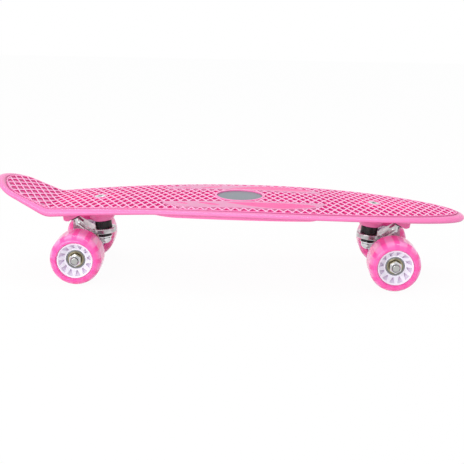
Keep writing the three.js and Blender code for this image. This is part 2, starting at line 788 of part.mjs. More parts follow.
// The plastic cup that the pivot's ball turns in, flange and all.
function makePivotCup() {
  const mouth = -ballRadius;
  const radius = cupDiameter / 2;
  const flangeTop = mouth + cupFlangeThickness;
  const socket = ballRadius + gap;
  const steps = 3;
  const dome = [];
  for (let i = 0; i <= steps; i += 1) {
    const angle = (Math.PI / 2) * (i / steps);
    dome.push([socket * Math.cos(angle), socket * Math.sin(angle)]);
  }
  return onPivot(turned([
    ...dome.reverse(), [socket, mouth], [cupFlangeDiameter / 2, mouth],
    [cupFlangeDiameter / 2, flangeTop], [radius, flangeTop], [radius, flangeTop + cupDepth],
    [0, flangeTop + cupDepth],
  ], boltFacets));
}

// A bar between two places in the side view, with its own width and height at each end.
function taperedBar(from, to, widths, heights) {
  const along = to.clone().sub(from).normalize();
  const up = new THREE.Vector3(-along.z, 0, along.x);
  const across = new THREE.Vector3(0, 1, 0);
  const corners = [[-1, -1], [1, -1], [1, 1], [-1, 1]];
  const rows = [from, to].map((place, i) => corners.map(([hand, lift]) => (
    place.clone().addScaledVector(up, (lift * heights[i]) / 2)
      .addScaledVector(across, (hand * widths[i]) / 2)
  )));
  return skin(rows);
}

// A place in the ring's own plane, out from the kingpin towards the pivot.
function onKingpinPoint(reach) {
  const out = new THREE.Vector3(Math.cos(kingpinLean), 0, -Math.sin(kingpinLean));
  return ringCentre.clone().addScaledVector(out, reach);
}

// The cast hanger: axle housing, ring, arm, web, gussets and pivot.
function makeHanger() {
  const half = hangerWidth / 2;
  const neck = neckDiameter / 2;
  const thick = housingDiameter / 2;
  const barrel = half - neckLength;
  const housing = turnedAcross([
    [0, -half], [neck, -half], [neck, -barrel], [thick, -barrel + neckLength],
    [thick, barrel - neckLength], [neck, barrel], [neck, half], [0, half],
  ], boltFacets).translate(0, 0, axleHeight);
  const ringRod = rod(ringDiameter / 2, -ringThickness / 2, ringThickness / 2);
  const ring = onKingpin(turned(ringRod, wheelFacets));
  const stem = new THREE.Vector3(Math.cos(pivotTilt), 0, Math.sin(pivotTilt));
  const stemFoot = pivotCentre.clone().addScaledVector(stem, -stemLength);
  const armRoot = onKingpinPoint(ringDiameter / 4);
  const arm = taperedBar(armRoot, stemFoot, [armWidth, armTipWidth], [ringThickness, armHeight]);
  const steps = 3;
  const ball = [[0, ballRadius]];
  for (let i = 1; i <= steps; i += 1) {
    const angle = THREE.MathUtils.lerp(Math.PI / 2, -ballUndercut, i / steps);
    ball.push([ballRadius * Math.cos(angle), ballRadius * Math.sin(angle)]);
  }
  const low = -stemLength - armHeight / 2;
  const pivot = onPivot(turned([
    ...ball, [stemDiameter / 2, -ballRadius], [armTipWidth / 2 - gap, low + armHeight / 4],
    [armTipWidth / 2 - gap, low], [0, low],
  ], boltFacets));
  const back = stemFoot.x + armTipWidth / 2 - gap;
  const web = sideways([
    [back, stemFoot.z], [ringCentre.x + ringDiameter / 2, ringCentre.z],
    [-thick, axleHeight], [neck, axleHeight], [back, axleHeight + thick],
  ], webThickness);
  const gusset = new THREE.ExtrudeGeometry(shapeOf([
    [-gussetSpread, axleHeight], [gussetSpread, axleHeight], [gussetSpread, axleHeight + neck],
    [webThickness, ringCentre.z], [-webThickness, ringCentre.z], [-gussetSpread, axleHeight + neck],
  ]), { depth: gussetThickness, bevelEnabled: false });
  gusset.rotateX(Math.PI / 2).rotateZ(Math.PI / 2).translate(-gussetThickness / 2, 0, 0);
  const parts = [ring, arm, pivot, web, gusset].map(solid);
  const cast = parts.reduce((body, piece) => body.add(piece), solid(housing));
  const seat = (radius, from, to) => onKingpin(turned(rod(radius, from, to), boltFacets));
  const axleBore = rod(axleDiameter / 2 + gap, -half - overrun, half + overrun);
  const cuts = [
    seat(upperBushingDiameter / 2 + gap, upperSeat, bossFoot),
    seat(upperBushingDiameter / 2 + bushingRoom, ringThickness / 2, bossFoot),
    seat(lowerBushingDiameter / 2 + gap, -ringThickness / 2 - overrun, -upperSeat),
    seat(ringBore / 2, -ringThickness, ringThickness),
    turnedAcross(axleBore, boltFacets).translate(0, 0, axleHeight),
  ];
  return geometryOf(cuts.map(solid).reduce((body, cut) => body.subtract(cut), cast));
}

function makeAxle() {
  const half = nutPlace + axleNutHeight + axleTail;
  const radius = axleDiameter / 2;
  const chamfer = radius / 5;
  return turnedAcross([
    [0, -half], [radius - chamfer, -half], [radius, -half + chamfer],
    [radius, half - chamfer], [radius - chamfer, half], [0, half],
  ], boltFacets).translate(0, 0, axleHeight);
}

// Places along the axle, measured from the board's middle out to the nut.
const innerWasher = hangerWidth / 2 + gap;
const innerBearing = innerWasher + washerThickness + gap;
const spacerPlace = innerBearing + bearingWidth + gap;
const outerBearing = spacerPlace + bearingSpacing + gap;
const outerWasher = outerBearing + bearingWidth + gap;
const nutPlace = outerWasher + washerThickness + gap;
const wheelMiddle = (innerBearing + outerBearing + bearingWidth) / 2;

// The soft tyre's section: a flat tread between two round shoulders.
function makeTyre() {
  const bore = coreDiameter / 2 + gap;
  const half = wheelWidth / 2;
  const lip = half - coreSink;
  const fall = Math.min(shoulderRadius, wheelRadius - bore - coreSink / 2);
  const steps = 2;
  const outer = [];
  for (let i = 0; i <= steps; i += 1) {
    const angle = (Math.PI / 2) * (i / steps);
    const place = half - shoulderRadius * (1 - Math.sin(angle));
    outer.push([wheelRadius - fall * (1 - Math.cos(angle)), place]);
  }
  outer.push([bore, lip]);
  const inner = outer.map(([r, y]) => [r, -y]).reverse();
  return turnedAcross([...inner, ...outer, inner[0]], wheelFacets);
}

// The hard core: rim, dished walls, swirled pockets in its face, and a hub with two bearing seats.
const pocketShares = [[0.05, 0.12], [1, 0.02], [0.92, 0.68]];

function corePocket(face, dishInner, dishOuter) {
  const pitch = (2 * Math.PI) / pocketCount;
  const points = pocketShares.map(([out, round]) => {
    const r = THREE.MathUtils.lerp(dishInner, dishOuter, out);
    return [r * Math.cos(round * pitch), r * Math.sin(round * pitch)];
  });
  return upright(points, face, wheelWidth);
}

function makeCore() {
  const outer = coreDiameter / 2;
  const half = wheelWidth / 2 - coreSink;
  const seat = bearingDiameter / 2 + gap;
  const hub = seat + hubWall;
  const rim = outer - coreRim;
  const bearingFace = (outerBearing - innerBearing + bearingWidth) / 2;
  const seatFloor = bearingFace - bearingWidth - gap;
  const through = innerRingDiameter / 2 + gap * 2;
  const hubFace = bearingFace + gap;
  const profile = [[0, hubFace], [hub, hubFace], [rim, half], [outer, half]];
  const mirrored = profile.map(([r, y]) => [r, -y]).reverse();
  const blank = solid(turned([...profile, ...mirrored], wheelFacets));
  const cuts = [
    turned(rod(through, -half, half), boltFacets),
    turned(rod(seat, seatFloor, half), boltFacets),
    turned(rod(seat, -half, -seatFloor), boltFacets),
  ];
  for (let i = 0; i < pocketCount; i += 1) {
    const cutter = corePocket(hubFace - pocketDepth, hub + gap, rim - gap * 2);
    cuts.push(cutter.rotateZ((2 * Math.PI * i) / pocketCount));
  }
  const core = cuts.map(solid).reduce((body, cut) => body.subtract(cut), blank);
  return geometryOf(core).rotateX(-Math.PI / 2);
}

// A bearing's outer ring with the shields that close its race, and its inner ring.
function makeOuterRing() {
  const radius = bearingDiameter / 2;
  const inside = innerRingDiameter / 2 + gap;
  const dish = washerThickness / 2;
  return turnedAcross([
    [inside, dish], [radius, 0], [radius, bearingWidth], [inside, bearingWidth - dish],
    [inside, dish],
  ], boltFacets);
}

function makeInnerRing() {
  return turnedAcross(tube(axleDiameter / 2 + gap, innerRingDiameter / 2, 0, bearingWidth), smallFacets);
}

function makeSpacer() {
  return turnedAcross(tube(axleDiameter / 2 + gap, spacerDiameter / 2, 0, bearingSpacing), smallFacets);
}

function makeWasher() {
  return turnedAcross(tube(axleDiameter / 2 + gap, washerDiameter / 2, 0, washerThickness), smallFacets);
}

function makeAxleNut() {
  return lockNut(axleNutFlats, axleNutHeight, axleDiameter / 2 + gap).rotateX(-Math.PI / 2);
}

// Colours and finishes
const finishes = {
  deck: { color: 0xff7cc0, roughness: 0.35, metalness: 0 },
  badge: { color: 0x8f969c, roughness: 0.4, metalness: 0.6 },
  tyre: { color: 0xff62b0, roughness: 0.2, metalness: 0 },
  core: { color: 0xf4f0fa, roughness: 0.4, metalness: 0 },
  rubber: { color: 0x141216, roughness: 0.7, metalness: 0 },
  plastic: { color: 0x1c1a20, roughness: 0.5, metalness: 0 },
  cast: { color: 0xb9bcc0, roughness: 0.35, metalness: 1 },
  steel: { color: 0xc8cacc, roughness: 0.25, metalness: 1 },
  brass: { color: 0xb8ad8c, roughness: 0.3, metalness: 1 },
};

function part(name, geometry, finish) {
  const mesh = new THREE.Mesh(closed(geometry), new THREE.MeshStandardMaterial(finishes[finish]));
  mesh.name = name;
  return mesh;
}

// One wheel with its bearings and what clamps them, at one end of a truck's axle.
function wheelSet(truck, hand, sign) {
  const label = `${truck.name}_${hand}`;
  const set = new THREE.Group();
  const along = (mesh, place) => {
    mesh.position.set(0, place, axleHeight);
    set.add(mesh);
  };
  along(part(`${label}_tyre`, makeTyre(), 'tyre'), wheelMiddle);
  along(part(`${label}_core`, makeCore(), 'core'), wheelMiddle);
  along(part(`${label}_inner_bearing_outer_ring`, makeOuterRing(), 'steel'), innerBearing);
  along(part(`${label}_outer_bearing_outer_ring`, makeOuterRing(), 'steel'), outerBearing);
  along(part(`${label}_inner_bearing_inner_ring`, makeInnerRing(), 'steel'), innerBearing);
  along(part(`${label}_outer_bearing_inner_ring`, makeInnerRing(), 'steel'), outerBearing);
  along(part(`${label}_bearing_spacer`, makeSpacer(), 'steel'), spacerPlace);
  along(part(`${label}_inner_washer`, makeWasher(), 'steel'), innerWasher);
  along(part(`${label}_outer_washer`, makeWasher(), 'brass'), outerWasher);
  along(part(`${label}_axle_nut`, makeAxleNut(), 'steel'), nutPlace);
  if (sign < 0) set.rotation.z = Math.PI;
  return set;
}

function makeTruck(truck) {
  const group = new THREE.Group();
  const upper = makeBushing(upperBushingDiameter, upperFoot, upperFoot + upperBushingHeight);
  const lower = makeBushing(lowerBushingDiameter, lowerTop - lowerBushingHeight, lowerTop);
  group.add(
    part(`${truck.name}_kingpin`, makeKingpin(truck), 'steel'),
    part(`${truck.name}_upper_bushing`, upper, 'rubber'),
    part(`${truck.name}_lower_bushing`, lower, 'rubber'),
    part(`${truck.name}_cup_washer`, makeCupWasher(), 'steel'),
    part(`${truck.name}_kingpin_nut`, makeKingpinNut(), 'steel'),
    part(`${truck.name}_pivot_cup`, makePivotCup(), 'plastic'),
    part(`${truck.name}_hanger`, makeHanger(), 'cast'),
    part(`${truck.name}_axle`, makeAxle(), 'steel'),
  );
  const mirrored = Math.cos(truck.turn);
  group.add(wheelSet(truck, 'left', mirrored), wheelSet(truck, 'right', -mirrored));
  group.rotation.z = truck.turn;
  group.position.x = truck.place;
  return group;
}

const board = new THREE.Group();
board.name = 'cruiser_skateboard';
board.add(part('deck', makeDeck(), 'deck'), part('badge_plate', makeBadgePlate(), 'badge'));
trucks.forEach((truck) => board.add(makeTruck(truck)));

export default board;
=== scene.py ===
"""Looks of a pink cruiser skateboard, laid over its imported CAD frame.

Every length is in metres in the row's frame: +X to the nose, +Y to the rider's left, +Z up, with
the wheels standing on Z = 0. A truck's pieces are worked out in the truck's own frame, with the
axle over the origin and +X away from the board's middle, and are then settled under the deck.
"""
import math
import bpy
import numpy as np
from bpy.props import FloatProperty, FloatVectorProperty, IntProperty, PointerProperty
from mathutils import Matrix, Vector


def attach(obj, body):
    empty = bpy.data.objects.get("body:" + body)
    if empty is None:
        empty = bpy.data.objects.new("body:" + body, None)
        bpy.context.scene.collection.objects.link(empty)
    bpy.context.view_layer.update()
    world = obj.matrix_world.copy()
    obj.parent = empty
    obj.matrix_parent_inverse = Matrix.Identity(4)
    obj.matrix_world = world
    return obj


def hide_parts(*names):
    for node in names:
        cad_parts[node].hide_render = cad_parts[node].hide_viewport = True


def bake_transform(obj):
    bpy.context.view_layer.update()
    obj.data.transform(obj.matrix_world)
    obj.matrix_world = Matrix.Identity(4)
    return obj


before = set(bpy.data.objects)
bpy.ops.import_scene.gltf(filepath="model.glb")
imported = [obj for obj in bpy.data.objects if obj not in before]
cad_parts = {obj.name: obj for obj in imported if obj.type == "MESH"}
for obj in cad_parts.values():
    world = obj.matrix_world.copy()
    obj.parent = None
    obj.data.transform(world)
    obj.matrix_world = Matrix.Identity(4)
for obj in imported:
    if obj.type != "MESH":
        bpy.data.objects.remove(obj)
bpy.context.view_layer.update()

MM = 0.001

bl_info = {
    "name": "Cruiser Skateboard",
    "version": (1, 0, 0),
    "blender": (4, 5, 0),
    "location": "View3D > Sidebar > Skateboard",
    "description": "Builds the moulded deck, trucks and wheels of a small cruiser skateboard",
    "category": "Object",
}

# The deck's form. It is the frame's, but for a broader flange and so a narrower field.
BOARD_HALF = 280 * MM
TOP_HEIGHT = 94.5 * MM
CAMBER_RADIUS = 2600 * MM
CAMBER_CENTRE = -4 * MM
CROWN_RADIUS = 1000 * MM
KICK_START = -213 * MM
KICK_SLOPE = -math.tan(math.radians(24))
KICK_FADE = 16 * MM
BEND_LENGTH = 10 * MM
PLATE = 5 * MM
FIELD_HALF = 69.5 * MM
TAIL_HALF = 41 * MM
TAIL_CORNER = 21 * MM
WIDEST = 51 * MM
FLANGE = 6 * MM
TIP_GAIN = 5 * MM
SIDE_GAIN = 4.5 * MM
RIM_DROP = 6 * MM
BEND_GAIN, BEND_TAIL, BEND_NOSE = 4 * MM, 55 * MM, 125 * MM
NOSE_GAIN, NOSE_LENGTH = 3.4 * MM, 190 * MM
LATTICE_BEVEL = 0.12 * MM
LATTICE_BACKING = 0.5 * MM
BADGE_PLACE = 9.5 * MM
BADGE_RADIUS = 27 * MM
BADGE_FOOT = -3.6 * MM

# The plate underneath and its ribs: how far in and how deep they start, and their half widths
PLATE_INSET, PLATE_TOP = 1.2 * MM, -3.2 * MM
KEEL_HEIGHT = 81.3 * MM
RIB_START, RIB_END = -104 * MM, 102 * MM
TAIL_TAPER, NOSE_TAPER = 44 * MM, 14 * MM
RIB_INSET = 3 * MM
RIB_ROOT, RIB_TIP = -3.8 * MM, -4.2 * MM
THIN_RIB, BROAD_RIB = 1.5 * MM, 6 * MM
CROSS_RIBS = 6

# The smooth pads, with the shares of their length over which their ends are rounded
PAD_TAIL, PAD_NOSE = -81 * MM, 110 * MM
PAD_INSIDE, PAD_OUTSIDE = 31 * MM, 58.6 * MM
PAD_SKEW = 0.04
PAD_TAIL_END, PAD_NOSE_END = 0.25, 0.35

# The trucks and wheels, as the frame has them
AXLE_PLACE = {"front": 190 * MM, "rear": -178 * MM}
WAYS = {"front": 1, "rear": -1}
HANDS = {"left": 1, "right": -1}
AXLE_HEIGHT = 30 * MM
AXLE_HALF, AXLE_RADIUS = 78 * MM, 4 * MM
RING_CENTRE = np.array([-23.6, 0, 48.4]) * MM
PIVOT_CENTRE = np.array([12, 0, 66.5]) * MM
KINGPIN_LEAN = math.radians(6)
PIVOT_TILT = math.radians(60)
WHEEL_MIDDLE = 55.7 * MM
BEARING_PLACE = {"inner_bearing": 43.4 * MM, "outer_bearing": 61 * MM}
BORE = 4.3 * MM
NUT_FLATS = 13 * MM
CLEARANCE = 0.3 * MM

# Heights of a kingpin's stack, measured along it from the ring's centre
RING_HALF = 3 * MM
SEAT_DEPTH = 1.5 * MM
UPPER_FOOT = RING_HALF - SEAT_DEPTH + CLEARANCE
UPPER_TALL = 10.4 * MM
UPPER_TOP = UPPER_FOOT + UPPER_TALL
BOSS_FOOT = UPPER_TOP + CLEARANCE
LOWER_TOP = -UPPER_FOOT
LOWER_TALL = 6 * MM
LOWER_FOOT = LOWER_TOP - LOWER_TALL
WASHER_TOP = LOWER_FOOT - CLEARANCE
NUT_TOP = WASHER_TOP - 1.9 * MM
NUT_TALL = 5.5 * MM
KINGPIN_END = NUT_TOP - NUT_TALL - 1.2 * MM
RING_RADIUS = 14.5 * MM
BALL_RADIUS = 4.5 * MM
CUP_FLANGE = 1.6 * MM

# The photograph's viewpoint, in metres and radians, and its angle as a focal length in pixels
CAMERA_PLACE = Vector((15.2085, -1128.4907, 351.7729)) * MM
CAMERA_YAW, CAMERA_PITCH, CAMERA_ROLL = -0.0126, 0.2627, 0.0187
FOCAL_PIXELS, IMAGE_WIDTH, SENSOR_WIDTH = 961.526, 464, 36
LAMP_AIM = (0, 0, 0.05)
FLOOR_HALF = 3.0
WHITE = (1, 1, 1, 1)

FACING = 35  # degrees between faces from which an edge is drawn sharp
WELD = 2e-6  # distance within which points are made one
AXIS = 1e-5  # radius at which a solid's profile starts, in place of none


# ---- Shapes -------------------------------------------------------------------------------


def grid(rows, columns, wrap_rows=False, wrap_columns=False):
    """Faces of a grid: each joins four neighbours, and a wrapped side meets its first line."""
    row = np.arange(rows if wrap_rows else rows - 1)[:, None]
    column = np.arange(columns if wrap_columns else columns - 1)[None, :]
    below, beside = (row + 1) % rows, (column + 1) % columns
    corners = [(row, column), (row, beside), (below, beside), (below, column)]
    return np.stack([r * columns + c for r, c in corners], -1).reshape(-1, 4)


def corner_arcs(corners, reach, steps):
    """Arcs in place of corners, (1 - t)^2 a + 2 t (1 - t) b + t^2 c for t from 0 to 1. Each runs
    from its reach before the corner to its reach after it, or to half of a shorter side."""
    ends = []
    for way in (1, -1):
        side = np.roll(corners, way, -2) - corners
        far = np.maximum(np.linalg.norm(side, axis=-1, keepdims=True), 1e-9)
        ends.append((corners + side * np.minimum(reach / far, 0.49))[..., None, :])
    t = np.linspace(0, 1, steps + 1)[:, None]
    arcs = (1 - t) ** 2 * ends[0] + 2 * t * (1 - t) * corners[..., None, :]
    return arcs + t**2 * ends[1]


def rounded(corners, reach, steps=4, closed=False):
    """A polyline with arcs for its corners. An open one keeps its two ends."""
    corners = np.asarray(corners, float)
    reach = np.broadcast_to(np.asarray(reach, float), len(corners))[:, None]
    arcs = corner_arcs(corners, reach, steps)
    if closed:
        return arcs.reshape(-1, corners.shape[1])
    middle = arcs[1:-1].reshape(-1, corners.shape[1])
    return np.concatenate([corners[:1], middle, corners[-1:]])


def ring_sheet(points, rows, segments, closed):
    """Faces for rows of points that each run round an axis, capped unless the rows close."""
    faces = grid(rows, segments, wrap_rows=closed, wrap_columns=True).tolist()
    if not closed:
        last = (rows - 1) * segments
        faces.append(list(range(segments))[::-1])
        faces.append(list(range(last, last + segments)))
    return points, faces


def round_angles(segments):
    """Equal angles once round, without the last one that would meet the first."""
    return np.linspace(0, 2 * np.pi, segments, endpoint=False)


def ringed(radius, height, closed=False):
    """Rows of radius and height, one value for each angle a, carried round Z: x = r cos a and
    y = r sin a. Open rows get a flat cap at each end, and closed ones make a ring."""
    rows, segments = radius.shape
    angle = round_angles(segments)
    points = np.stack([radius * np.cos(angle), radius * np.sin(angle), height], -1)
    return ring_sheet(points.reshape(-1, 3), rows, segments, closed)


def spread(profile, segments):
    """A profile's radii and heights, each one value or one for every angle, as two arrays with
    a row for each point of the profile and a column for each angle."""
    rows = [[np.broadcast_to(side, segments) for side in point] for point in profile]
    return np.array([row[0] for row in rows]), np.array([row[1] for row in rows])


def turned(profile, segments=64, closed=False):
    """A profile of radius and height carried round Z."""
    return ringed(*spread(profile, segments), closed)


def spun(corners, reach, steps=4, segments=64, closed=True):
    """A profile whose corners are rounded, each over its reach in millimetres, carried round Z."""
    return turned(rounded(corners, np.asarray(reach) * MM, steps, closed), segments, closed)


def arc(radius, start, end, count):
    """Places of radius and height on a circle about the origin: r cos a and r sin a."""
    return [(radius * math.cos(a), radius * math.sin(a)) for a in np.linspace(start, end, count)]


def prism(outline, half, axis=1):
    """An outline of two coordinates made solid from -half to half along the third, its axis."""
    outline = np.asarray(outline, float)
    rows = [np.insert(outline, axis, place, axis=1) for place in (-half, half)]
    return ring_sheet(np.concatenate(rows), 2, len(outline), False)


def outwards(points, faces):
    """The faces turned over where their signed volume is negative, so that they point out."""
    fans = [(f[0], f[i], f[i + 1]) for f in faces for i in range(1, len(f) - 1)]
    a, b, c = (points[np.array(fans)[:, k]] for k in range(3))
    volume = np.einsum("ij,ij->i", a, np.cross(b, c)).sum()
    return faces if volume > 0 else [list(f)[::-1] for f in faces]


def turn_y(points, angle):
    """Points turned about Y: x' = x cos a + z sin a, z' = z cos a - x sin a."""
    c, s = math.cos(angle), math.sin(angle)
    return points @ np.array([[c, 0, -s], [0, 1, 0], [s, 0, c]])


def settled(sheet, truck):
    """A truck's sheet moved under the deck: the rear truck is turned half round about Z."""
    points, faces = sheet
    way = WAYS[truck]
    return points * [way, way, 1] + [AXLE_PLACE[truck], 0, 0], faces


def on_kingpin(sheet):
    """A sheet turned about Z, laid along the kingpin's line from the ring's centre."""
    points, faces = sheet
    return turn_y(points, KINGPIN_LEAN) + RING_CENTRE, faces


def on_pivot(sheet):
    """A sheet turned about Z, laid along the pivot's line from the ball's centre."""
    points, faces = sheet
    return turn_y(points, math.pi / 2 - PIVOT_TILT) + PIVOT_CENTRE, faces


def on_axle(sheet, truck, place=0.0, sign=1):
    """A sheet turned about Z, laid along a truck's axle: its height runs out along Y from its
    place, to the other side for a sign of -1. It is then settled under the deck."""
    points, faces = sheet
    x, y, z = points.T
    along = np.stack([x, sign * (z + place), -sign * y], -1)
    return settled((along + [0, 0, AXLE_HEIGHT], faces), truck)


def welded(points, faces):
    """Points at the same place made one, and faces that lose a corner made smaller. The last
    result is the number that each kept point had."""
    _, first, index = np.unique(
        np.round(points / WELD).astype(np.int64), axis=0, return_index=True, return_inverse=True
    )
    index = index.reshape(-1)
    slim = []
    for face in faces:
        kept = list(dict.fromkeys(index[list(face)].tolist()))
        if len(kept) > 2:
            slim.append(kept)
    return points[first], slim, first


def add_piece(name, sheets, look, body, nodes, slot, closed=True, masks=None, weld=False):
    """One object from its sheets, shaded smooth up to the facing angle. It rides on its body when
    that is a name. A body of two, given with the places where it leaves one and meets the other,
    leaves the piece on neither and unbent. Closed sheets are turned to point out, and masks are
    numbers kept for each point."""
    corners, faces, start = [], [], 0
    for points, sheet_faces in sheets:
        turned_out = outwards(points, sheet_faces) if closed else sheet_faces
        faces += [[i + start for i in face] for face in turned_out]
        corners.append(points)
        start += len(points)
    points = np.concatenate(corners)
    masks = dict(masks or {})
    if weld:
        points, faces, first = welded(points, faces)
        masks = {key: value[first] for key, value in masks.items()}
    mesh = bpy.data.meshes.new(name)
    mesh.from_pydata(points.tolist(), [], faces)
    for key, value in masks.items():
        layer = mesh.attributes.new(key, "FLOAT", "POINT")
        layer.data.foreach_set("value", np.ascontiguousarray(value, np.float32))
    mesh.shade_smooth()
    mesh.set_sharp_from_angle(angle=math.radians(FACING))
    mesh.materials.append(bpy.data.materials[look])
    piece = bpy.data.objects.new(name, mesh)
    bpy.context.scene.collection.objects.link(piece)
    if isinstance(body, str):
        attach(piece, body)
    else:
        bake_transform(piece)
    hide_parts(*nodes)
    return piece


def add_deck_piece(name, sheets, look, **more):
    """A piece of the moulded deck."""
    return add_piece(name, sheets, look, "board", ["deck"], "deck_plastic", **more)


# ---- The deck's surface -------------------------------------------------------------------


def camber(x):
    """Height of the deck's middle from bend to nose: a parabola, h - (x - c)^2 / 2R."""
    return TOP_HEIGHT - (x - CAMBER_CENTRE) ** 2 / (2 * CAMBER_RADIUS)


BEND_END = KICK_START + BEND_LENGTH / 2
BEND_SLOPE = -(BEND_END - CAMBER_CENTRE) / CAMBER_RADIUS


def centre_line(x):
    """Height and slope of the deck's middle: a parabola, a short bend, and a straight kick."""
    back = np.clip(x - BEND_END, -BEND_LENGTH, 0)
    straight = np.minimum(x - BEND_END + BEND_LENGTH, 0)
    curve = (BEND_SLOPE - KICK_SLOPE) / (2 * BEND_LENGTH)
    bent = camber(BEND_END) + BEND_SLOPE * back + curve * back**2 + KICK_SLOPE * straight
    flat = x >= BEND_END
    slope = np.where(flat, -(x - CAMBER_CENTRE) / CAMBER_RADIUS, BEND_SLOPE + 2 * curve * back)
    return np.where(flat, camber(x), bent), slope


def on_deck(x, y, height):
    """A place on the deck: plan x and y, height along the slope's normal, crown y^2 / 2R."""
    z, slope = centre_line(x)
    steep = np.hypot(1, slope)
    z = z - y**2 / (2 * CROWN_RADIUS) + height / steep
    return np.stack(np.broadcast_arrays(x - height * slope / steep, y, z), -1)


def rim_drop(x):
    """The rim's depth: it grows linearly to the bend, and with a square towards the nose."""
    bend = np.abs(x - KICK_START) / np.where(x < KICK_START, BEND_TAIL, BEND_NOSE)
    nose = np.clip(1 - (BOARD_HALF - FLANGE - TIP_GAIN - x) / NOSE_LENGTH, 0, 1)
    return RIM_DROP + BEND_GAIN * np.maximum(1 - bend, 0) + NOSE_GAIN * nose**2


# The rim's outer corners: shares of the flange's width out, and of the rim's depth down
RIM_REACH = np.array([
    [0, 0], [0.26, 0], [0.36, 0.16], [0.74, 0.26], [1, 0.52], [0.95, 0.8], [0.64, 1],
])


def tip_reach(x, slope):
    """How far the rim reaches past the field at a tip: its furthest corner on the slope there."""
    out, down = RIM_REACH.T * np.array([[FLANGE + TIP_GAIN], [rim_drop(x)]])
    return np.max(out + down * slope / math.hypot(1, slope))


NOSE_SLOPE = (CAMBER_CENTRE - BOARD_HALF) / CAMBER_RADIUS
TAIL_TIP = tip_reach(-BOARD_HALF, -KICK_SLOPE) - BOARD_HALF
NOSE_TIP = BOARD_HALF - tip_reach(BOARD_HALF, NOSE_SLOPE)
TAIL_SHOULDER = TAIL_TIP + TAIL_CORNER

# The field's edge in three curves: start, end, control points as shares of the way, and steps
OUTLINE = [
    (
        (TAIL_TIP, 0), (TAIL_SHOULDER, TAIL_HALF),
        [(0, 0), (0, 0.37), (0.37, 0.98), (1, 1)], 50,
    ),
    (
        (TAIL_SHOULDER, TAIL_HALF), (WIDEST, FIELD_HALF),
        [(0, 0), (0.33, 0.48), (0.66, 1), (1, 1)], 130,
    ),
    ((WIDEST, FIELD_HALF), (NOSE_TIP, 0), [(0, 0), (0.54, 0), (1, 0.54), (1, 1)], 110),
]


def half_outline():
    """The left edge from tail tip to nose tip, with its outward directions: cubic Bezier curves
    u^3 a + 3 u^2 t b + 3 u t^2 c + t^3 d, where u is 1 - t."""
    places, directions = [], []
    for start, end, shares, steps in OUTLINE:
        start, end = np.array(start), np.array(end)
        p = start + (end - start) * np.array(shares)
        t = np.linspace(0, 1, steps + 1)[:, None]
        u = 1 - t
        curve = u**3 * p[0] + 3 * u**2 * t * p[1] + 3 * u * t**2 * p[2] + t**3 * p[3]
        along = u**2 * (p[1] - p[0]) + 2 * u * t * (p[2] - p[1]) + t**2 * (p[3] - p[2])
        along /= np.linalg.norm(along, axis=1, keepdims=True)
        skip = 1 if places else 0
        places.append(curve[skip:])
        directions.append(np.stack([-along[:, 1], along[:, 0]], -1)[skip:])
    places, directions = np.concatenate(places), np.concatenate(directions)
    places[[0, -1], 1] = 0
    directions[0], directions[-1] = (-1, 0), (1, 0)
    return places, directions


EDGE, EDGE_OUT = half_outline()


def field_half(x):
    """Half the field's width."""
    return np.interp(x, EDGE[:, 0], EDGE[:, 1])


def whole_outline():
    """The edge run round both sides: up the left from tail to nose, and back down the right."""
    right, right_out = EDGE[-2:0:-1] * [1, -1], EDGE_OUT[-2:0:-1] * [1, -1]
    return np.concatenate([EDGE, right]), np.concatenate([EDGE_OUT, right_out])


def inside_field(x, y):
    """Distance in from the field's edge: to the nearest edge point, along its outward line."""
    y = np.abs(y)
    near = np.argmin((x[:, None] - EDGE[:, 0]) ** 2 + (y[:, None] - EDGE[:, 1]) ** 2, axis=1)
    gap = EDGE[near] - np.stack([x, y], -1)
    return (gap * EDGE_OUT[near]).sum(-1)


def trimmed(points, triangles, depth):
    """Triangles cut where depth passes zero. A triangle with one corner outside becomes two and
    one with two corners outside stays one; crossings divide an edge by the depths at its ends."""
    signs = depth[triangles] > 0
    count = signs.sum(1)
    kept = [triangles[count == 3]]
    made = [points]
    total = len(points)
    for number, odd in ((2, False), (1, True)):
        some = triangles[count == number]
        lone = np.argmax(signs[count == number] == odd, axis=1)
        a, b, c = (some[np.arange(len(some)), (lone + k) % 3] for k in range(3))
        crossing = []
        for end in (b, c):
            share = (depth[a] / (depth[a] - depth[end]))[:, None]
            made.append(points[a] + (points[end] - points[a]) * share)
            crossing.append(total + np.arange(len(some)))
            total += len(some)
        p, q = crossing
        if odd:
            kept.append(np.stack([a, p, q], -1))
        else:
            kept += [np.stack([p, b, c], -1), np.stack([p, c, q], -1)]
    return np.concatenate(made), np.concatenate(kept)


# ---- Settings -----------------------------------------------------------------------------


def amount(name, description, default, **more):
    """A number property that isn't negative."""
    return FloatProperty(name=name, description=description, default=default, min=0.0, **more)


def length(name, description, millimetres):
    """A length property whose default is written in millimetres."""
    return amount(name, description, millimetres * MM, unit="LENGTH", precision=5)


def colour(name, description, code):
    """A colour property whose default is written as six hexadecimal digits of sRGB."""
    parts = [int(code[i : i + 2], 16) / 255 for i in (0, 2, 4)]
    linear = [p / 12.92 if p <= 0.04045 else ((p + 0.055) / 1.055) ** 2.4 for p in parts]
    return FloatVectorProperty(
        name=name, description=description, default=linear, size=3, min=0.0, max=1.0,
        subtype="COLOR",
    )


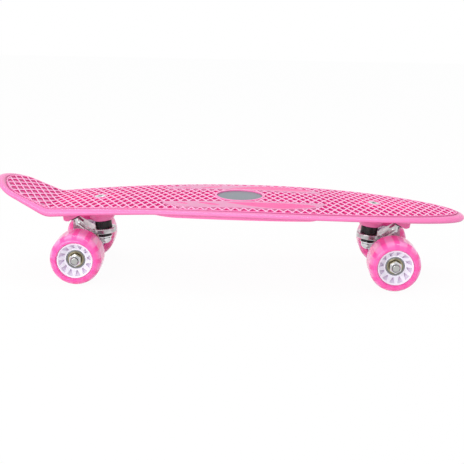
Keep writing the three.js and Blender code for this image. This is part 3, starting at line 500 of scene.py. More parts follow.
class DeckSettings(bpy.types.PropertyGroup):
    """Sizes of the deck's moulded detail."""

    cell_length: length("Cell length", "A diamond's length along the board", 10)
    cell_width: length("Cell width", "A diamond's width across the board", 19.1)
    rib_width: length("Rib width", "Width of a rib's flat top", 1.35)
    recess: length("Recess", "Depth of the diamonds under the ribs", 2.6)
    kick_share: amount(
        "Kick share", "Share of the recess's depth missing on the kick", 0.3, max=0.9,
    )
    rib_flare: length("Rib flare", "How much a rib's wall leans out on its way down", 0.4)
    land: length("Land", "Radius of the flat ring round a kingpin's head", 9.2)
    pad_rise: length("Pad rise", "Height of the smooth pads over the ribs", 0.35)
    streak_depth: length("Streak depth", "How deep the streaks lie in the pads", 0.28)
    badge_ring: length("Badge ring", "Width of the ring round the badge", 3)


class WheelSettings(bpy.types.PropertyGroup):
    """Sizes of the wheels' detail."""

    pockets: IntProperty(
        name="Pockets", description="Pockets in each face of a core", default=12, min=3, max=24,
    )
    pocket_depth: length("Pocket depth", "Depth of a core's pockets", 2)
    shoulder: length("Shoulder", "Length of the tyre's round shoulder", 11)


class FinishSettings(bpy.types.PropertyGroup):
    """Colours of the finishes."""

    deck: colour("Deck", "Moulded plastic of the deck", "FA80BE")
    # Painted shade: the rim's groove and the lip's lower edge are painted darker.
    painted_crease_shade: colour("Creases", "Groove and lower edge of the rim", "D4649E")
    # Painted light on the lattice: rib tops are painted lighter as a painted sheen, and rib walls
    # deep magenta and recess floors darker as painted shade.
    rib: colour("Ribs", "Tops of the lattice's ribs", "FFB8E0")
    rib_wall_painted_shade: colour("Rib walls", "Sides of the ribs, where the plastic is seen deep", "EC389A")
    recess: colour("Recesses", "Floors of the diamonds", "D084A8")
    pad: colour("Pads", "Matt part of the smooth pads", "E08AB6")
    streak: colour("Streaks", "Smooth streaks in the pads", "FF449C")
    tyre: colour("Tyre", "Soft translucent tyre over a spoke", "FF5AB0")
    tyre_pale: colour("Tyre, pale", "The tyre between two spokes", "FF98D0")
    core: colour("Core", "Hard moulded core", "F6F2FF")
    # Painted shade: the core's pockets are painted darker in place of the shade in them, most at
    # their heads.
    pocket: colour("Pockets", "Clear plastic seen in the core's pockets", "BCA2C2")
    badge: colour("Badge", "Satin plate of the badge", "848C94")
    cast: colour("Cast metal", "Cast hangers", "CAC8CA")
    steel: colour("Steel", "Plated bolts and nuts", "D8D8DA")
    ring: colour("Ring steel", "Bearing rings", "8E8E90")
    axle: colour("Axles", "Ends of the axles", "B8B8B6")
    brass: colour("Brass", "Washers and bearing shields", "A0977C")
    black: colour("Black", "Rubber bushings and cups", "0A080C")


class StageSettings(bpy.types.PropertyGroup):
    """Lamps and surroundings."""

    top_power: amount("Top lamp", "Power of the strip lamp overhead", 5.0, unit="POWER")
    front_power: amount("Front lamp", "Power of the camera side's lamp", 13.5, unit="POWER")
    sky: amount("Sky", "Brightness of the surroundings overhead", 0.8)
    horizon: amount("Horizon", "Brightness of the surroundings at the horizon", 0.6)


# ---- Finishes -----------------------------------------------------------------------------


def node(tree, kind, inputs=None, **settings):
    """A new node with its settings, and with values for its inputs by name or number."""
    made = tree.nodes.new(kind)
    for key, value in settings.items():
        setattr(made, key, value)
    for key, value in (inputs or {}).items():
        made.inputs[key].default_value = value
    return made


def wire(tree, *links):
    """Joins outputs to inputs: each link is a node, its output, another node and its input."""
    for start, output, end, entry in links:
        tree.links.new(start.outputs[output], end.inputs[entry])


def new_group(name, inputs, outputs):
    """An empty node group, from its inputs' names, kinds and defaults and its outputs' names and
    kinds, with its two end nodes."""
    group = bpy.data.node_groups.new(name, "ShaderNodeTree")
    for title, kind, default in inputs:
        made = group.interface.new_socket(
            name=title, in_out="INPUT", socket_type=f"NodeSocket{kind}"
        )
        made.default_value = default
    for title, kind in outputs:
        group.interface.new_socket(name=title, in_out="OUTPUT", socket_type=f"NodeSocket{kind}")
    return group, node(group, "NodeGroupInput"), node(group, "NodeGroupOutput")


def make_grain_group():
    """Fine moulded or cast grain: two noises, a fine one for the bump and a broad one that drifts
    the roughness."""
    group, start, end = new_group(
        "surface grain",
        [
            ("Grain Scale", "Float", 900.0), ("Bump", "Float", 0.1),
            ("Roughness", "Float", 0.4), ("Roughness Drift", "Float", 0.1),
        ],
        [("Roughness", "Float"), ("Normal", "Vector")],
    )
    place = node(group, "ShaderNodeTexCoord")
    fine = node(group, "ShaderNodeTexNoise", {"Detail": 3.0})
    broad = node(group, "ShaderNodeTexNoise", {"Scale": 35.0, "Detail": 2.0})
    bump = node(group, "ShaderNodeBump", {"Distance": 0.0002})
    shift = node(group, "ShaderNodeMath", {1: 0.5}, operation="SUBTRACT")
    drift = node(group, "ShaderNodeMath", operation="MULTIPLY_ADD", use_clamp=True)
    wire(
        group,
        (place, "Object", fine, "Vector"),
        (place, "Object", broad, "Vector"),
        (start, "Grain Scale", fine, "Scale"),
        (start, "Bump", bump, "Strength"),
        (fine, "Fac", bump, "Height"),
        (broad, "Fac", shift, 0),
        (shift, 0, drift, 0),
        (start, "Roughness Drift", drift, 1),
        (start, "Roughness", drift, 2),
        (drift, 0, end, "Roughness"),
        (bump, "Normal", end, "Normal"),
    )


def make_tint_group():
    """Colour that drifts gently over a surface: the base darkened or lightened by a broad
    noise."""
    group, start, end = new_group(
        "colour drift",
        [
            ("Colour", "Color", (0.8, 0.8, 0.8, 1)), ("Drift", "Float", 0.05),
            ("Drift Scale", "Float", 12.0),
        ],
        [("Colour", "Color")],
    )
    place = node(group, "ShaderNodeTexCoord")
    noise = node(group, "ShaderNodeTexNoise", {"Detail": 4.0})
    shift = node(group, "ShaderNodeMath", {1: 0.5}, operation="SUBTRACT")
    value = node(group, "ShaderNodeMath", {2: 1.0}, operation="MULTIPLY_ADD")
    vary = node(group, "ShaderNodeHueSaturation")
    wire(
        group,
        (place, "Object", noise, "Vector"),
        (start, "Drift Scale", noise, "Scale"),
        (noise, "Fac", shift, 0),
        (shift, 0, value, 0),
        (start, "Drift", value, 1),
        (value, 0, vary, "Value"),
        (start, "Colour", vary, "Color"),
        (vary, "Color", end, "Colour"),
    )


def finish(
    name, base, roughness, grain=900.0, bump=0.1, drift=0.1, tint=0.06, tint_scale=12.0, **shader
):
    """A material of one base colour, drifting in tone and roughness, with a fine grain."""
    made = bpy.data.materials.new(name)
    made.use_nodes = True
    tree = made.node_tree
    principled = tree.nodes["Principled BSDF"]
    for key, value in shader.items():
        principled.inputs[key.replace("_", " ")].default_value = value
    surface = node(tree, "ShaderNodeGroup", node_tree=bpy.data.node_groups["surface grain"])
    tone = node(tree, "ShaderNodeGroup", node_tree=bpy.data.node_groups["colour drift"])
    for key, value in {
        "Grain Scale": grain, "Bump": bump, "Roughness": roughness, "Roughness Drift": drift,
    }.items():
        surface.inputs[key].default_value = value
    for key, value in {"Colour": (*base, 1), "Drift": tint, "Drift Scale": tint_scale}.items():
        tone.inputs[key].default_value = value
    wire(
        tree,
        (surface, "Roughness", principled, "Roughness"),
        (surface, "Normal", principled, "Normal"),
        (tone, "Colour", principled, "Base Color"),
    )
    return made


def coloured_by(made, attribute, stops):
    """Takes a finish's colour from a mesh attribute, by a ramp of places and colours."""
    tree = made.node_tree
    mask = node(tree, "ShaderNodeAttribute", attribute_name=attribute)
    ramp = node(tree, "ShaderNodeValToRGB")
    elements = ramp.color_ramp.elements
    while len(elements) < len(stops):
        elements.new(0.5)
    for element, (place, tone) in zip(elements, stops):
        element.position = place
        element.color = (*tone, 1)
    drift = next(n for n in tree.nodes if n.type == "GROUP" and "Drift Scale" in n.inputs)
    wire(tree, (mask, "Fac", ramp, "Fac"), (ramp, "Color", drift, "Colour"))


def make_finishes(c):
    """Every material, by the name its pieces ask for, from the colours of the settings."""
    make_grain_group()
    make_tint_group()
    finish("moulded deck", c.deck, 0.27, grain=1400, bump=0.06)
    rim = finish("moulded rim", c.deck, 0.25, grain=1400, bump=0.04)
    # The rim's groove and the lip's lower edge get a painted shade from their mask.
    coloured_by(rim, "painted_crease_shade", [(0.0, c.deck), (1.0, c.painted_crease_shade)])
    lattice = finish("moulded lattice", c.deck, 0.34, grain=1400, bump=0.08)
    # The lattice's colour by depth is painted light: a painted sheen on the rib tops, and painted
    # shade on the walls and the floors.
    coloured_by(lattice, "recess", [
        (0.0, c.rib), (0.12, c.rib), (0.3, c.rib_wall_painted_shade), (0.9, c.rib_wall_painted_shade), (0.98, c.recess),
    ])
    pads = finish("smooth pad", c.pad, 0.36, grain=1800, bump=0.12)
    coloured_by(pads, "streak", [(0.25, c.pad), (0.75, c.streak)])
    finish("badge plate", c.badge, 0.42, grain=2200, bump=0.15, Metallic=0.75)
    tyre = finish(
        "soft tyre", c.tyre, 0.14, grain=300, bump=0.02, tint=0.08, tint_scale=60,
        Subsurface_Weight=0.3, Subsurface_Radius=(1.0, 0.35, 0.6), Subsurface_Scale=0.004,
    )
    coloured_by(tyre, "paleness", [(0.0, c.tyre), (1.0, c.tyre_pale)])
    core = finish(
        "hard core", c.core, 0.35, grain=900, bump=0.03, tint=0.03,
        Subsurface_Weight=0.1, Subsurface_Radius=(1.0, 0.8, 0.9), Subsurface_Scale=0.002,
    )
    # The pocket mask paints shade into the core's pockets.
    coloured_by(core, "pocket", [(0.1, c.core), (1.0, c.pocket)])
    finish("cast metal", c.cast, 0.28, grain=420, bump=0.9, tint=1.6, tint_scale=110, Metallic=1.0)
    finish("plated steel", c.steel, 0.2, bump=0.08, tint=0.9, tint_scale=160, Metallic=1.0)
    finish("brass", c.brass, 0.3, bump=0.08, tint=0.15, Metallic=1.0)
    finish("ring steel", c.ring, 0.25, grain=500, bump=0.05, tint=0.15, Metallic=1.0)
    finish("ground steel", c.axle, 0.25, grain=500, bump=0.05, tint=0.15, Metallic=1.0)
    finish("black rubber", c.black, 0.5, grain=1200, bump=0.2)
    finish("black plastic", c.black, 0.4, grain=1200, bump=0.1)


# ---- Deck operators -----------------------------------------------------------------------


def deck_height(truck, x):
    """Height of the deck's middle over a place in a truck's own frame."""
    return float(centre_line(np.array(AXLE_PLACE[truck] + WAYS[truck] * x))[0])


def kingpin_top(truck):
    """How far up the kingpin's line the deck's top lies: a guess that is moved, over and over,
    by the height still missing at its own place."""
    lean = np.array([math.sin(KINGPIN_LEAN), 0, math.cos(KINGPIN_LEAN)])
    reach = 46 * MM
    for _ in range(60):
        point = RING_CENTRE + lean * reach
        reach += deck_height(truck, point[0]) - point[2]
    return reach


def head_place(truck):
    """Where along the board a kingpin's head lies."""
    out = RING_CENTRE[0] + math.sin(KINGPIN_LEAN) * kingpin_top(truck)
    return AXLE_PLACE[truck] + WAYS[truck] * out


def cell_lines(deck):
    """The lines that divide a cell, from one rib's middle to the next: place across the cell
    from -1/2 to 1/2, and height. Across a cell a rib's half width is a share of the distance
    between ribs, l w / hypot(l, w)."""
    pitch = deck.cell_length * deck.cell_width / math.hypot(deck.cell_length, deck.cell_width)
    flat = 0.5 - deck.rib_width / 2 / pitch
    bevel = flat - LATTICE_BEVEL / pitch
    foot = bevel - deck.rib_flare / pitch
    half = [(0.5, 0), (flat, 0), (bevel, -LATTICE_BEVEL), (foot, -deck.recess)]
    return np.array([(-place, height) for place, height in half] + half[::-1])


def lattice_sheet(deck):
    """The field of diamonds: u and v count ribs along the two diagonals, x = l (u + v) / 2 and
    y = w (u - v) / 2, and a point is as high as the higher of its two lines. It is cut at the
    field's edge, under the badge's ring and under the lands round the kingpins' heads."""
    place, drop = cell_lines(deck).T
    reach = int(2 * BOARD_HALF / deck.cell_length) + 2
    ribs = np.arange(-reach, reach + 1)
    m, n = np.meshgrid(ribs, ribs, indexing="ij")
    x = deck.cell_length * (m + n) / 2
    y = deck.cell_width * (m - n) / 2
    spare = max(deck.cell_length, deck.cell_width)
    wanted = (np.abs(x) < BOARD_HALF) & (np.abs(y) < FIELD_HALF + spare / 2)
    m, n = m[wanted][:, None, None], n[wanted][:, None, None]
    u, v = np.broadcast_arrays(m + place[:, None], n + place[None, :])
    x = deck.cell_length * (u + v) / 2
    y = deck.cell_width * (u - v) / 2
    height = np.broadcast_to(np.maximum(drop[:, None], drop[None, :]), x.shape)
    count = len(place)
    cells = np.arange(len(x))[:, None, None] * count * count
    faces = (cells + grid(count, count)[None]).reshape(-1, 4)
    flat = np.stack([x, y, height], -1).reshape(-1, 3)
    depth = inside_field(flat[:, 0], flat[:, 1])
    holes = [(BADGE_PLACE, BADGE_RADIUS + deck.badge_ring * 0.6)]
    holes += [(head_place(truck), deck.land - 1 * MM) for truck in AXLE_PLACE]
    for centre, radius in holes:
        depth = np.minimum(depth, np.hypot(flat[:, 0] - centre, flat[:, 1]) - radius)
    whole = (depth[faces] > 0).all(1)
    edge = faces[(depth[faces] > 0).any(1) & ~whole]
    triangles = np.concatenate([edge[:, [0, 1, 2]], edge[:, [0, 2, 3]]])
    points, cut = trimmed(flat, triangles, depth)
    return points, faces[whole].tolist() + cut.tolist()


class SKATE_OT_lattice(bpy.types.Operator):
    """Builds the diamond lattice of the deck's field."""

    bl_idname = "skate.lattice"
    bl_label = "Deck Lattice"

    def execute(self, context):
        deck = context.scene.skate_deck
        points, faces = lattice_sheet(deck)
        used = np.unique(np.concatenate([np.array(f) for f in faces]))
        renumber = np.full(len(points), -1)
        renumber[used] = np.arange(len(used))
        faces = [renumber[f].tolist() for f in faces]
        x, y, height = points[used].T
        kicked = np.clip((KICK_START + KICK_FADE / 2 - x) / KICK_FADE, 0, 1)
        placed = on_deck(x, y, height * (1 - deck.kick_share * kicked))
        # The recess mask is the share of the full depth; it carries the lattice's painted sheen and
        # painted shade.
        lattice = add_deck_piece(
            "deck_lattice", [(placed, faces)], "moulded lattice", closed=False,
            masks={"recess": -height / deck.recess}, weld=True,
        )
        backed = lattice.modifiers.new("backing", "SOLIDIFY")
        backed.thickness = LATTICE_BACKING
        backed.offset = -1
        return {"FINISHED"}


# The rim's corners: out by millimetres and by a share of the flange's width, up by millimetres
# and down by a share of the rim's depth, the millimetres over which the corner is rounded, and
# how much painted shade it shows. The groove and the lip's lower edge are painted darker as painted
# shade.
RIM_CORNERS = np.array([
    (0.0, 0, -3.6, 0, 0.1, 0),
    (0.03, 0, 0.0, 0, 0.1, 0),
    (0.25, 0, 0.1, 0, 0.15, 0),
    (1.35, 0, 0.1, 0, 0.25, 0),
    (1.6, 0, -1.0, 0, 0.2, 1),
    (1.7, 0, -1.9, 0, 0.2, 1),
    (2.8, 0, -1.9, 0, 0.2, 1),
    (3.2, 0, -0.75, 0, 0.3, 0.8),
    (0, 0.74, 0, 0.2, 1.2, 0),
    (0, 0.94, 0, 0.40, 0.9, 0),
    (0, 1.0, 0, 0.56, 0.9, 0),
    (0, 0.95, 0, 0.80, 0.9, 0.5),
    (0, 0.82, 0, 0.96, 0.8, 1),
    (0, 0.64, 0, 0.99, 0.7, 0.8),
    (0, 0.52, 0, 0.93, 0.7, 0.3),
    (0, 0.40, -5.02, 0, 0.8, 0),
    (-2.5, 0, -5.02, 0, 0.1, 0),
    (-2.5, 0, -3.6, 0, 0.1, 0),
])
RIM_STEPS = 3


def flange_width(places, out):
    """How wide the flange is: broader at both tips, and broader along the sides as the field's
    edge draws nearer to its widest place."""
    start = np.where(places[:, 0] < WIDEST, TAIL_HALF, 0)
    side = (np.abs(places[:, 1]) - start) / (FIELD_HALF - start)
    return FLANGE + TIP_GAIN * out[:, 0] ** 2 + SIDE_GAIN * side.clip(0)


def rim_sections(flange, drop):
    """The rim's closed section for each place along the edge, all worked out at once."""
    out, share, up, down, reach, _ = RIM_CORNERS.T
    corners = [out * MM + share * flange[:, None], up * MM - down * drop[:, None]]
    arcs = corner_arcs(np.stack(corners, -1), (reach * MM)[:, None], RIM_STEPS)
    return arcs.reshape(len(flange), -1, 2)


class SKATE_OT_rim(bpy.types.Operator):
    """Builds the rib that frames the field, the flange outside it and the rim's lip."""

    bl_idname = "skate.rim"
    bl_label = "Deck Rim"

    def execute(self, context):
        places, out = whole_outline()
        section = rim_sections(flange_width(places, out), rim_drop(places[:, 0]))
        x = places[:, :1] + out[:, :1] * section[..., 0]
        y = places[:, 1:] + out[:, 1:] * section[..., 0]
        points = on_deck(x, y, section[..., 1]).reshape(-1, 3)
        faces = grid(len(places), section.shape[1], wrap_rows=True, wrap_columns=True).tolist()
        # Painted shade for the groove and the lip's lower edge, from the last column of the
        # corners.
        painted_crease_shade = np.repeat(RIM_CORNERS[:, -1], RIM_STEPS + 1)
        add_deck_piece(
            "deck_rim", [(points, faces)], "moulded rim",
            masks={"painted_crease_shade": np.tile(painted_crease_shade, len(places))},
        )
        return {"FINISHED"}


def rib_depth(x):
    """A rib's share of its full depth: a quarter round at each end, its tail end the longer."""
    tail = np.clip((x - RIB_START) / TAIL_TAPER, 0, 1)
    nose = np.clip((RIB_END - x) / NOSE_TAPER, 0, 1)
    return np.minimum(np.sin(tail * math.pi / 2), np.sqrt(1 - (1 - nose) ** 2))


def rib_reach(x):
    """How far out from the middle the ribs along the sides stand."""
    return field_half(x) * (1 + SIDE_GAIN / FIELD_HALF) - RIB_INSET


# A standing rib's section: shares of its half width, and millimetres over its lower edge, of
# which the first and the last point have none because they are its root
WALL_SECTION = np.array([
    (-1, 0), (-1, 1.1), (-0.96, 0.35), (-0.8, 0), (0.8, 0), (0.96, 0.35), (1, 1.1), (1, 0),
])


def wall(path, half):
    """A standing rib along a plan path. Its root follows the deck inside the plate and its
    rounded lower edge is level, but for its ends, which run up into the plate."""
    path = np.asarray(path, float)
    along = np.gradient(path, axis=0)
    along /= np.linalg.norm(along, axis=1, keepdims=True)
    side = np.stack([-along[:, 1], along[:, 0]], -1)
    out, lift = WALL_SECTION.T * [[half], [MM]]
    x = path[:, :1] + side[:, :1] * out
    y = path[:, 1:] + side[:, 1:] * out
    root = on_deck(x, y, RIB_ROOT)[..., 2]
    tip = on_deck(path[:, 0], path[:, 1], RIB_TIP)[:, 2]
    depth = rib_depth(path[:, 0])
    z = (tip + (KEEL_HEIGHT - tip) * depth)[:, None] + lift * depth[:, None]
    z[:, [0, -1]] = root[:, [0, -1]]
    points = np.stack([x, y, z], -1).reshape(-1, 3)
    return ring_sheet(points, len(path), len(out), False)


class SKATE_OT_underside(bpy.types.Operator):
    """Builds the plate under the field and the ribs between the trucks."""

    bl_idname = "skate.underside"
    bl_label = "Deck Underside"

    def execute(self, context):
        inner = EDGE - EDGE_OUT * PLATE_INSET
        inner = inner[inner[:, 1] > 1.0 * MM]
        share = np.linspace(-1, 1, 25)
        x = np.broadcast_to(inner[:, :1], (len(inner), len(share)))
        top = on_deck(x, inner[:, 1:] * share, PLATE_TOP)
        bottom = on_deck(x, inner[:, 1:] * share[::-1], -PLATE)
        points = np.concatenate([top, bottom], 1).reshape(-1, 3)
        sheets = [ring_sheet(points, len(inner), 2 * len(share), False)]
        xs = np.linspace(RIB_START, RIB_END, 90)
        ys = rib_reach(xs)
        for sign, half in ((1, THIN_RIB), (-1, THIN_RIB), (0, BROAD_RIB)):
            sheets.append(wall(np.stack([xs, sign * ys], -1), half))
        for rib in np.linspace(RIB_START + TAIL_TAPER, RIB_END - NOSE_TAPER, CROSS_RIBS):
            line = np.linspace(-rib_reach(rib), rib_reach(rib), 21)
            sheets.append(wall(np.stack([np.full_like(line, rib), line], -1), THIN_RIB))
        add_deck_piece("deck_underside", sheets, "moulded deck")
        return {"FINISHED"}


# A pad's streaks in millimetres: their ends along the board, the middle at the tail end, its
# rise and its bow towards the edge, and the half width where they are broadest
STREAKS = [
    (-64, -50, 38.4, 6.4, 0, 2.2),
    (-40, -13, 38, 11, 0, 3.6),
    (-5, 99, 37.5, 2.5, 6.5, 10.9),
]

# A pad's outer lines: shares of the way in from its edge, and millimetres of height there
PAD_SKIRT = np.array([(0, -3.3), (0.0012, -0.12), (0.005, 0.0)])


def streak_mask(x, y):
    """One inside a pad's streaks. With t running from a streak's tail end to its nose end, its
    half width is the broadest times sin(pi t^1.25)^0.7, and its middle bows with sin(pi t)."""
    mask = np.zeros_like(x)
    for tail, nose, middle, rise, bow, broad in STREAKS:
        t = np.clip((x / MM - tail) / (nose - tail), 0, 1)
        half = broad * np.sin(math.pi * t**1.25).clip(0) ** 0.7
        off = np.abs(y / MM - middle - rise * t - bow * np.sin(math.pi * t))
        mask = np.maximum(mask, np.clip((half - off) / 0.5 + 0.5, 0, 1) * (half > 0.1))
    return mask


def pad_lines(count):
    """Lines across a pad: shares of the way over it, and heights, with a skirt at both ends."""
    share, height = PAD_SKIRT.T
    middle = np.linspace(0.01, 0.99, count)
    heights = np.concatenate([height, np.zeros(count), height[::-1]]) * MM
    return np.concatenate([share, middle, 1 - share[::-1]]), heights


class SKATE_OT_pads(bpy.types.Operator):
    """Builds the two smooth pads and the streaks let into them."""

    bl_idname = "skate.pads"
    bl_label = "Smooth Pads"

    def execute(self, context):
        deck = context.scene.skate_deck
        (s, s_height), (t, t_height) = pad_lines(300), pad_lines(110)
        x = PAD_TAIL + (PAD_NOSE - PAD_TAIL) * s
        inside = PAD_INSIDE - PAD_SKEW * x
        ends = np.clip(np.minimum(s / PAD_TAIL_END, (1 - s) / PAD_NOSE_END), 0.004, 1)
        reach = (PAD_OUTSIDE - inside) * np.sqrt(1 - (1 - ends) ** 2)
        y = inside[:, None] + reach[:, None] * t[None, :]
        x = np.broadcast_to(x[:, None], y.shape)
        streak = streak_mask(x, y)
        height = deck.pad_rise + np.minimum(s_height[:, None], t_height[None, :])
        height = height - streak * deck.streak_depth
        for hand, sign in HANDS.items():
            points = on_deck(x, sign * y, height).reshape(-1, 3)
            faces = grid(len(s), len(t))
            if sign > 0:
                faces = faces[:, ::-1]
            add_deck_piece(
                f"{hand}_pad", [(points, faces.tolist())], "smooth pad", closed=False,
                masks={"streak": streak.reshape(-1)},
            )
        return {"FINISHED"}


def on_badge(sheet):
    """A sheet turned about Z, set square on the deck at the badge's place."""
    points, faces = sheet
    z, slope = centre_line(np.array(BADGE_PLACE))
    return turn_y(points, -math.atan(float(slope))) + [BADGE_PLACE, 0, float(z)], faces


class SKATE_OT_badge(bpy.types.Operator):
    """Builds the ring in the deck's middle and the bare plate that lies in it."""

    bl_idname = "skate.badge"
    bl_label = "Badge"

    def execute(self, context):
        lip, flare = 0.4 * MM, 0.15 * MM
        inner = BADGE_RADIUS + CLEARANCE
        outer = inner + context.scene.skate_deck.badge_ring
        ring = spun(
            [(inner, BADGE_FOOT), (inner, lip), (outer, lip), (outer + flare, BADGE_FOOT)],
            [0.05, 0.5, 0.5, 0.05], 5, 128,
        )
        add_deck_piece("badge_ring", [on_badge(ring)], "moulded deck")
        face = -0.9 * MM
        foot = face - 1.5 * MM
        plate = spun(
            [(AXIS, foot), (BADGE_RADIUS, foot), (BADGE_RADIUS, face), (AXIS, face)],
            [0, 0.2, 0.4, 0], 4, 128, closed=False,
        )
        add_piece(
            "badge_disc", [on_badge(plate)], "badge plate", "board", ["badge_plate"],
            "badge_metal",
        )
        return {"FINISHED"}


def boss_and_land(truck):
    """The boss that the upper bushing presses on, and the flat ring round the kingpin's head,
    which narrows a little on its way up to the deck's top."""
    deck_top = kingpin_top(truck)
    root = deck_top - 3 * MM
    slim, broad, taper = 12.5 * MM, 15.5 * MM, 5 * MM
    boss = spun([
        (BORE, BOSS_FOOT), (slim, BOSS_FOOT), (broad, BOSS_FOOT + taper), (broad, root),
        (BORE, root),
    ], [0.1, 0.8, 1.5, 0.1, 0.1])
    hole, edge, narrowing = 7.1 * MM, 9.3 * MM, 0.2 * MM
    land = spun([
        (hole, root), (edge, root), (edge - narrowing, deck_top), (hole, deck_top),
    ], 0.25)
    return [on_kingpin(boss), on_kingpin(land)]


def base_and_housing(truck):
    """The base, with ends that slope up to the plate, and the pivot's housing, with a face
    square to the pivot's line. Both are side views made solid."""
    inner, outer = RING_CENTRE[0] - 20 * MM, PIVOT_CENTRE[0] + 8.5 * MM
    heel, toe = (deck_height(truck, x) - PLATE for x in (inner, outer))
    sunk, deep = 2.5 * MM, 12 * MM
    base = prism([
        (inner, heel + sunk), (inner, heel), (inner + deep, heel - deep), (outer, toe - deep),
        (outer + deep / 2, toe), (outer + deep / 2, toe + sunk),
    ], 20 * MM)
    lift = CUP_FLANGE + CLEARANCE - BALL_RADIUS
    along = np.array([math.cos(PIVOT_TILT), math.sin(PIVOT_TILT)])
    fall = np.array([along[1], -along[0]]) * 8 * MM
    seat = PIVOT_CENTRE[[0, 2]] + along * lift
    low, high = seat + fall, seat - fall
    root = deck_height(truck, high[0]) - PLATE
    housing = prism([
        (high[0], root), high, low, (low[0] + 3 * MM, low[1]),
        (outer + 3 * MM, AXLE_HEIGHT + 31.5 * MM), (outer + 6 * MM, toe),
    ], 13 * MM)
    return [base, housing]


class SKATE_OT_truck_bases(bpy.types.Operator):
    """Builds the boss, base and pivot housing moulded under the deck for each truck."""

    bl_idname = "skate.truck_bases"
    bl_label = "Truck Bases"

    def execute(self, context):
        for truck in AXLE_PLACE:
            sheets = boss_and_land(truck) + base_and_housing(truck)
            placed = [settled(sheet, truck) for sheet in sheets]
            piece = add_deck_piece(f"{truck}_truck_base", placed, "moulded deck")
            soft = piece.modifiers.new("soft edges", "BEVEL")
            soft.width = 0.7 * MM
            soft.segments = 3
            soft.limit_method = "ANGLE"
            soft.angle_limit = math.radians(40)
        return {"FINISHED"}


# ---- Truck operators ----------------------------------------------------------------------


def hexagon(flats, segments=72):
    """Radius of a hexagon at each angle: half its flats over the cosine of the angle from the
    middle of the nearest flat."""
    turn = (round_angles(segments) + math.pi / 6) % (math.pi / 3) - math.pi / 6
    return flats / 2 / np.cos(turn)


def lock_nut(tall):
    """A hexagonal lock nut with its corners turned off and a round collar on top."""
    six = hexagon(NUT_FLATS)
    circle, collar, seat = NUT_FLATS / 2 * 0.97, NUT_FLATS / 2 * 0.86, tall * 0.7
    fall = (six - circle) * 0.45
    edge = 0.6 * MM
    rows = [
        (BORE, 0), (circle, 0), (six, fall), (six, seat - fall), (circle, seat),
        (collar, seat), (collar, tall - edge), (collar - edge, tall), (BORE + edge, tall),
        (BORE + 0.4 * MM, tall - 1.5 * MM), (BORE, tall - 1.6 * MM),
    ]
    return turned(rows, len(six), closed=True)


def kingpin_bolt(top):
    """A kingpin up to its head's top: a shank, a round head and a hexagonal socket in it."""
    seat, shank, head = top - 4.4 * MM, 4 * MM, 6.8 * MM
    six = hexagon(5 * MM)
    rows = [
        (3.4 * MM, KINGPIN_END), (shank, KINGPIN_END + 0.6 * MM), (shank, seat), (head, seat),
        (head, top - 0.5 * MM), (6.3 * MM, top), (3.6 * MM, top), (six, top - 0.25 * MM),
        (six, top - 2.4 * MM),
    ]
    return turned(rows, len(six))


def bushing(radius, low, high):
    """A rubber ring, its outer edges rounded over an eighth of its height."""
    edge = (high - low) / 8 / MM
    return spun([
        (BORE, low), (radius, low), (radius, (low + high) / 2), (radius, high), (BORE, high),
    ], [0.1, edge, 1, edge, 0.1], 5)


def cup_washer():
    """A washer with a rim that stands up round the lower bushing's foot."""
    top = WASHER_TOP
    return spun([
        (BORE, top - 1.6 * MM), (7.4 * MM, top - 1.6 * MM), (9 * MM, top - 0.2 * MM),
        (9 * MM, top + 0.8 * MM), (8.2 * MM, top + 0.5 * MM), (7 * MM, top), (BORE, top),
    ], 0.3, 3)


def pivot_cup():
    """A cup over the pivot's ball: a round socket, a flange at its mouth and a closed barrel."""
    socket, flange, barrel = BALL_RADIUS + CLEARANCE, 7.7 * MM, 6.7 * MM
    mouth = -BALL_RADIUS
    end = mouth + 9.6 * MM
    return turned(arc(socket, 1.5, 0, 10) + [
        (socket, mouth), (flange, mouth), (flange, mouth + CUP_FLANGE),
        (barrel, mouth + CUP_FLANGE), (barrel, end), (0.4 * MM, end),
    ])


def squeezed(truck, still, moving):
    """A bushing's two bodies, the board and its truck, with its places on the kingpin: the height
    where it would stay with the board and the one where it would go with the truck. Nothing bends
    it."""
    ends = np.array([[0, 0, still], [0, 0, moving]])
    return ("board", f"{truck}_truck", *settled(on_kingpin((ends, [])), truck)[0].tolist())


class SKATE_OT_kingpins(bpy.types.Operator):
    """Builds each truck's kingpin, bushings, cup washer, nut and pivot cup."""

    bl_idname = "skate.kingpins"
    bl_label = "Kingpins and Bushings"

    def execute(self, context):
        nut_points, nut_faces = lock_nut(NUT_TALL)
        nut = nut_points * [1, -1, -1] + [0, 0, NUT_TOP], nut_faces
        upper = bushing(10 * MM, UPPER_FOOT, UPPER_TOP)
        lower = bushing(7.8 * MM, LOWER_FOOT, LOWER_TOP)
        for truck in AXLE_PLACE:
            bolt = kingpin_bolt(kingpin_top(truck) + 0.1 * MM)
            pressed = squeezed(truck, UPPER_TOP, UPPER_FOOT)
            held = squeezed(truck, LOWER_FOOT, LOWER_TOP)
            pieces = [
                ("kingpin_bolt", bolt, "plated steel", "board", "kingpin", "bolt_steel"),
                ("upper_rubber", upper, "black rubber", pressed, "upper_bushing", "bushing_rubber"),
                ("lower_rubber", lower, "black rubber", held, "lower_bushing", "bushing_rubber"),
                (
                    "dished_washer", cup_washer(), "plated steel", "board", "cup_washer",
                    "bolt_steel",
                ),
                ("kingpin_lock_nut", nut, "plated steel", "board", "kingpin_nut", "nut_steel"),
            ]
            for name, sheet, look, body, cad, slot in pieces:
                placed = settled(on_kingpin(sheet), truck)
                add_piece(f"{truck}_{name}", [placed], look, body, [f"{truck}_{cad}"], slot)
            cup = settled(on_pivot(pivot_cup()), truck)
            add_piece(
                f"{truck}_pivot_cup_shell", [cup], "black plastic", "board",
                [f"{truck}_pivot_cup"], "cup_plastic",
            )
        return {"FINISHED"}


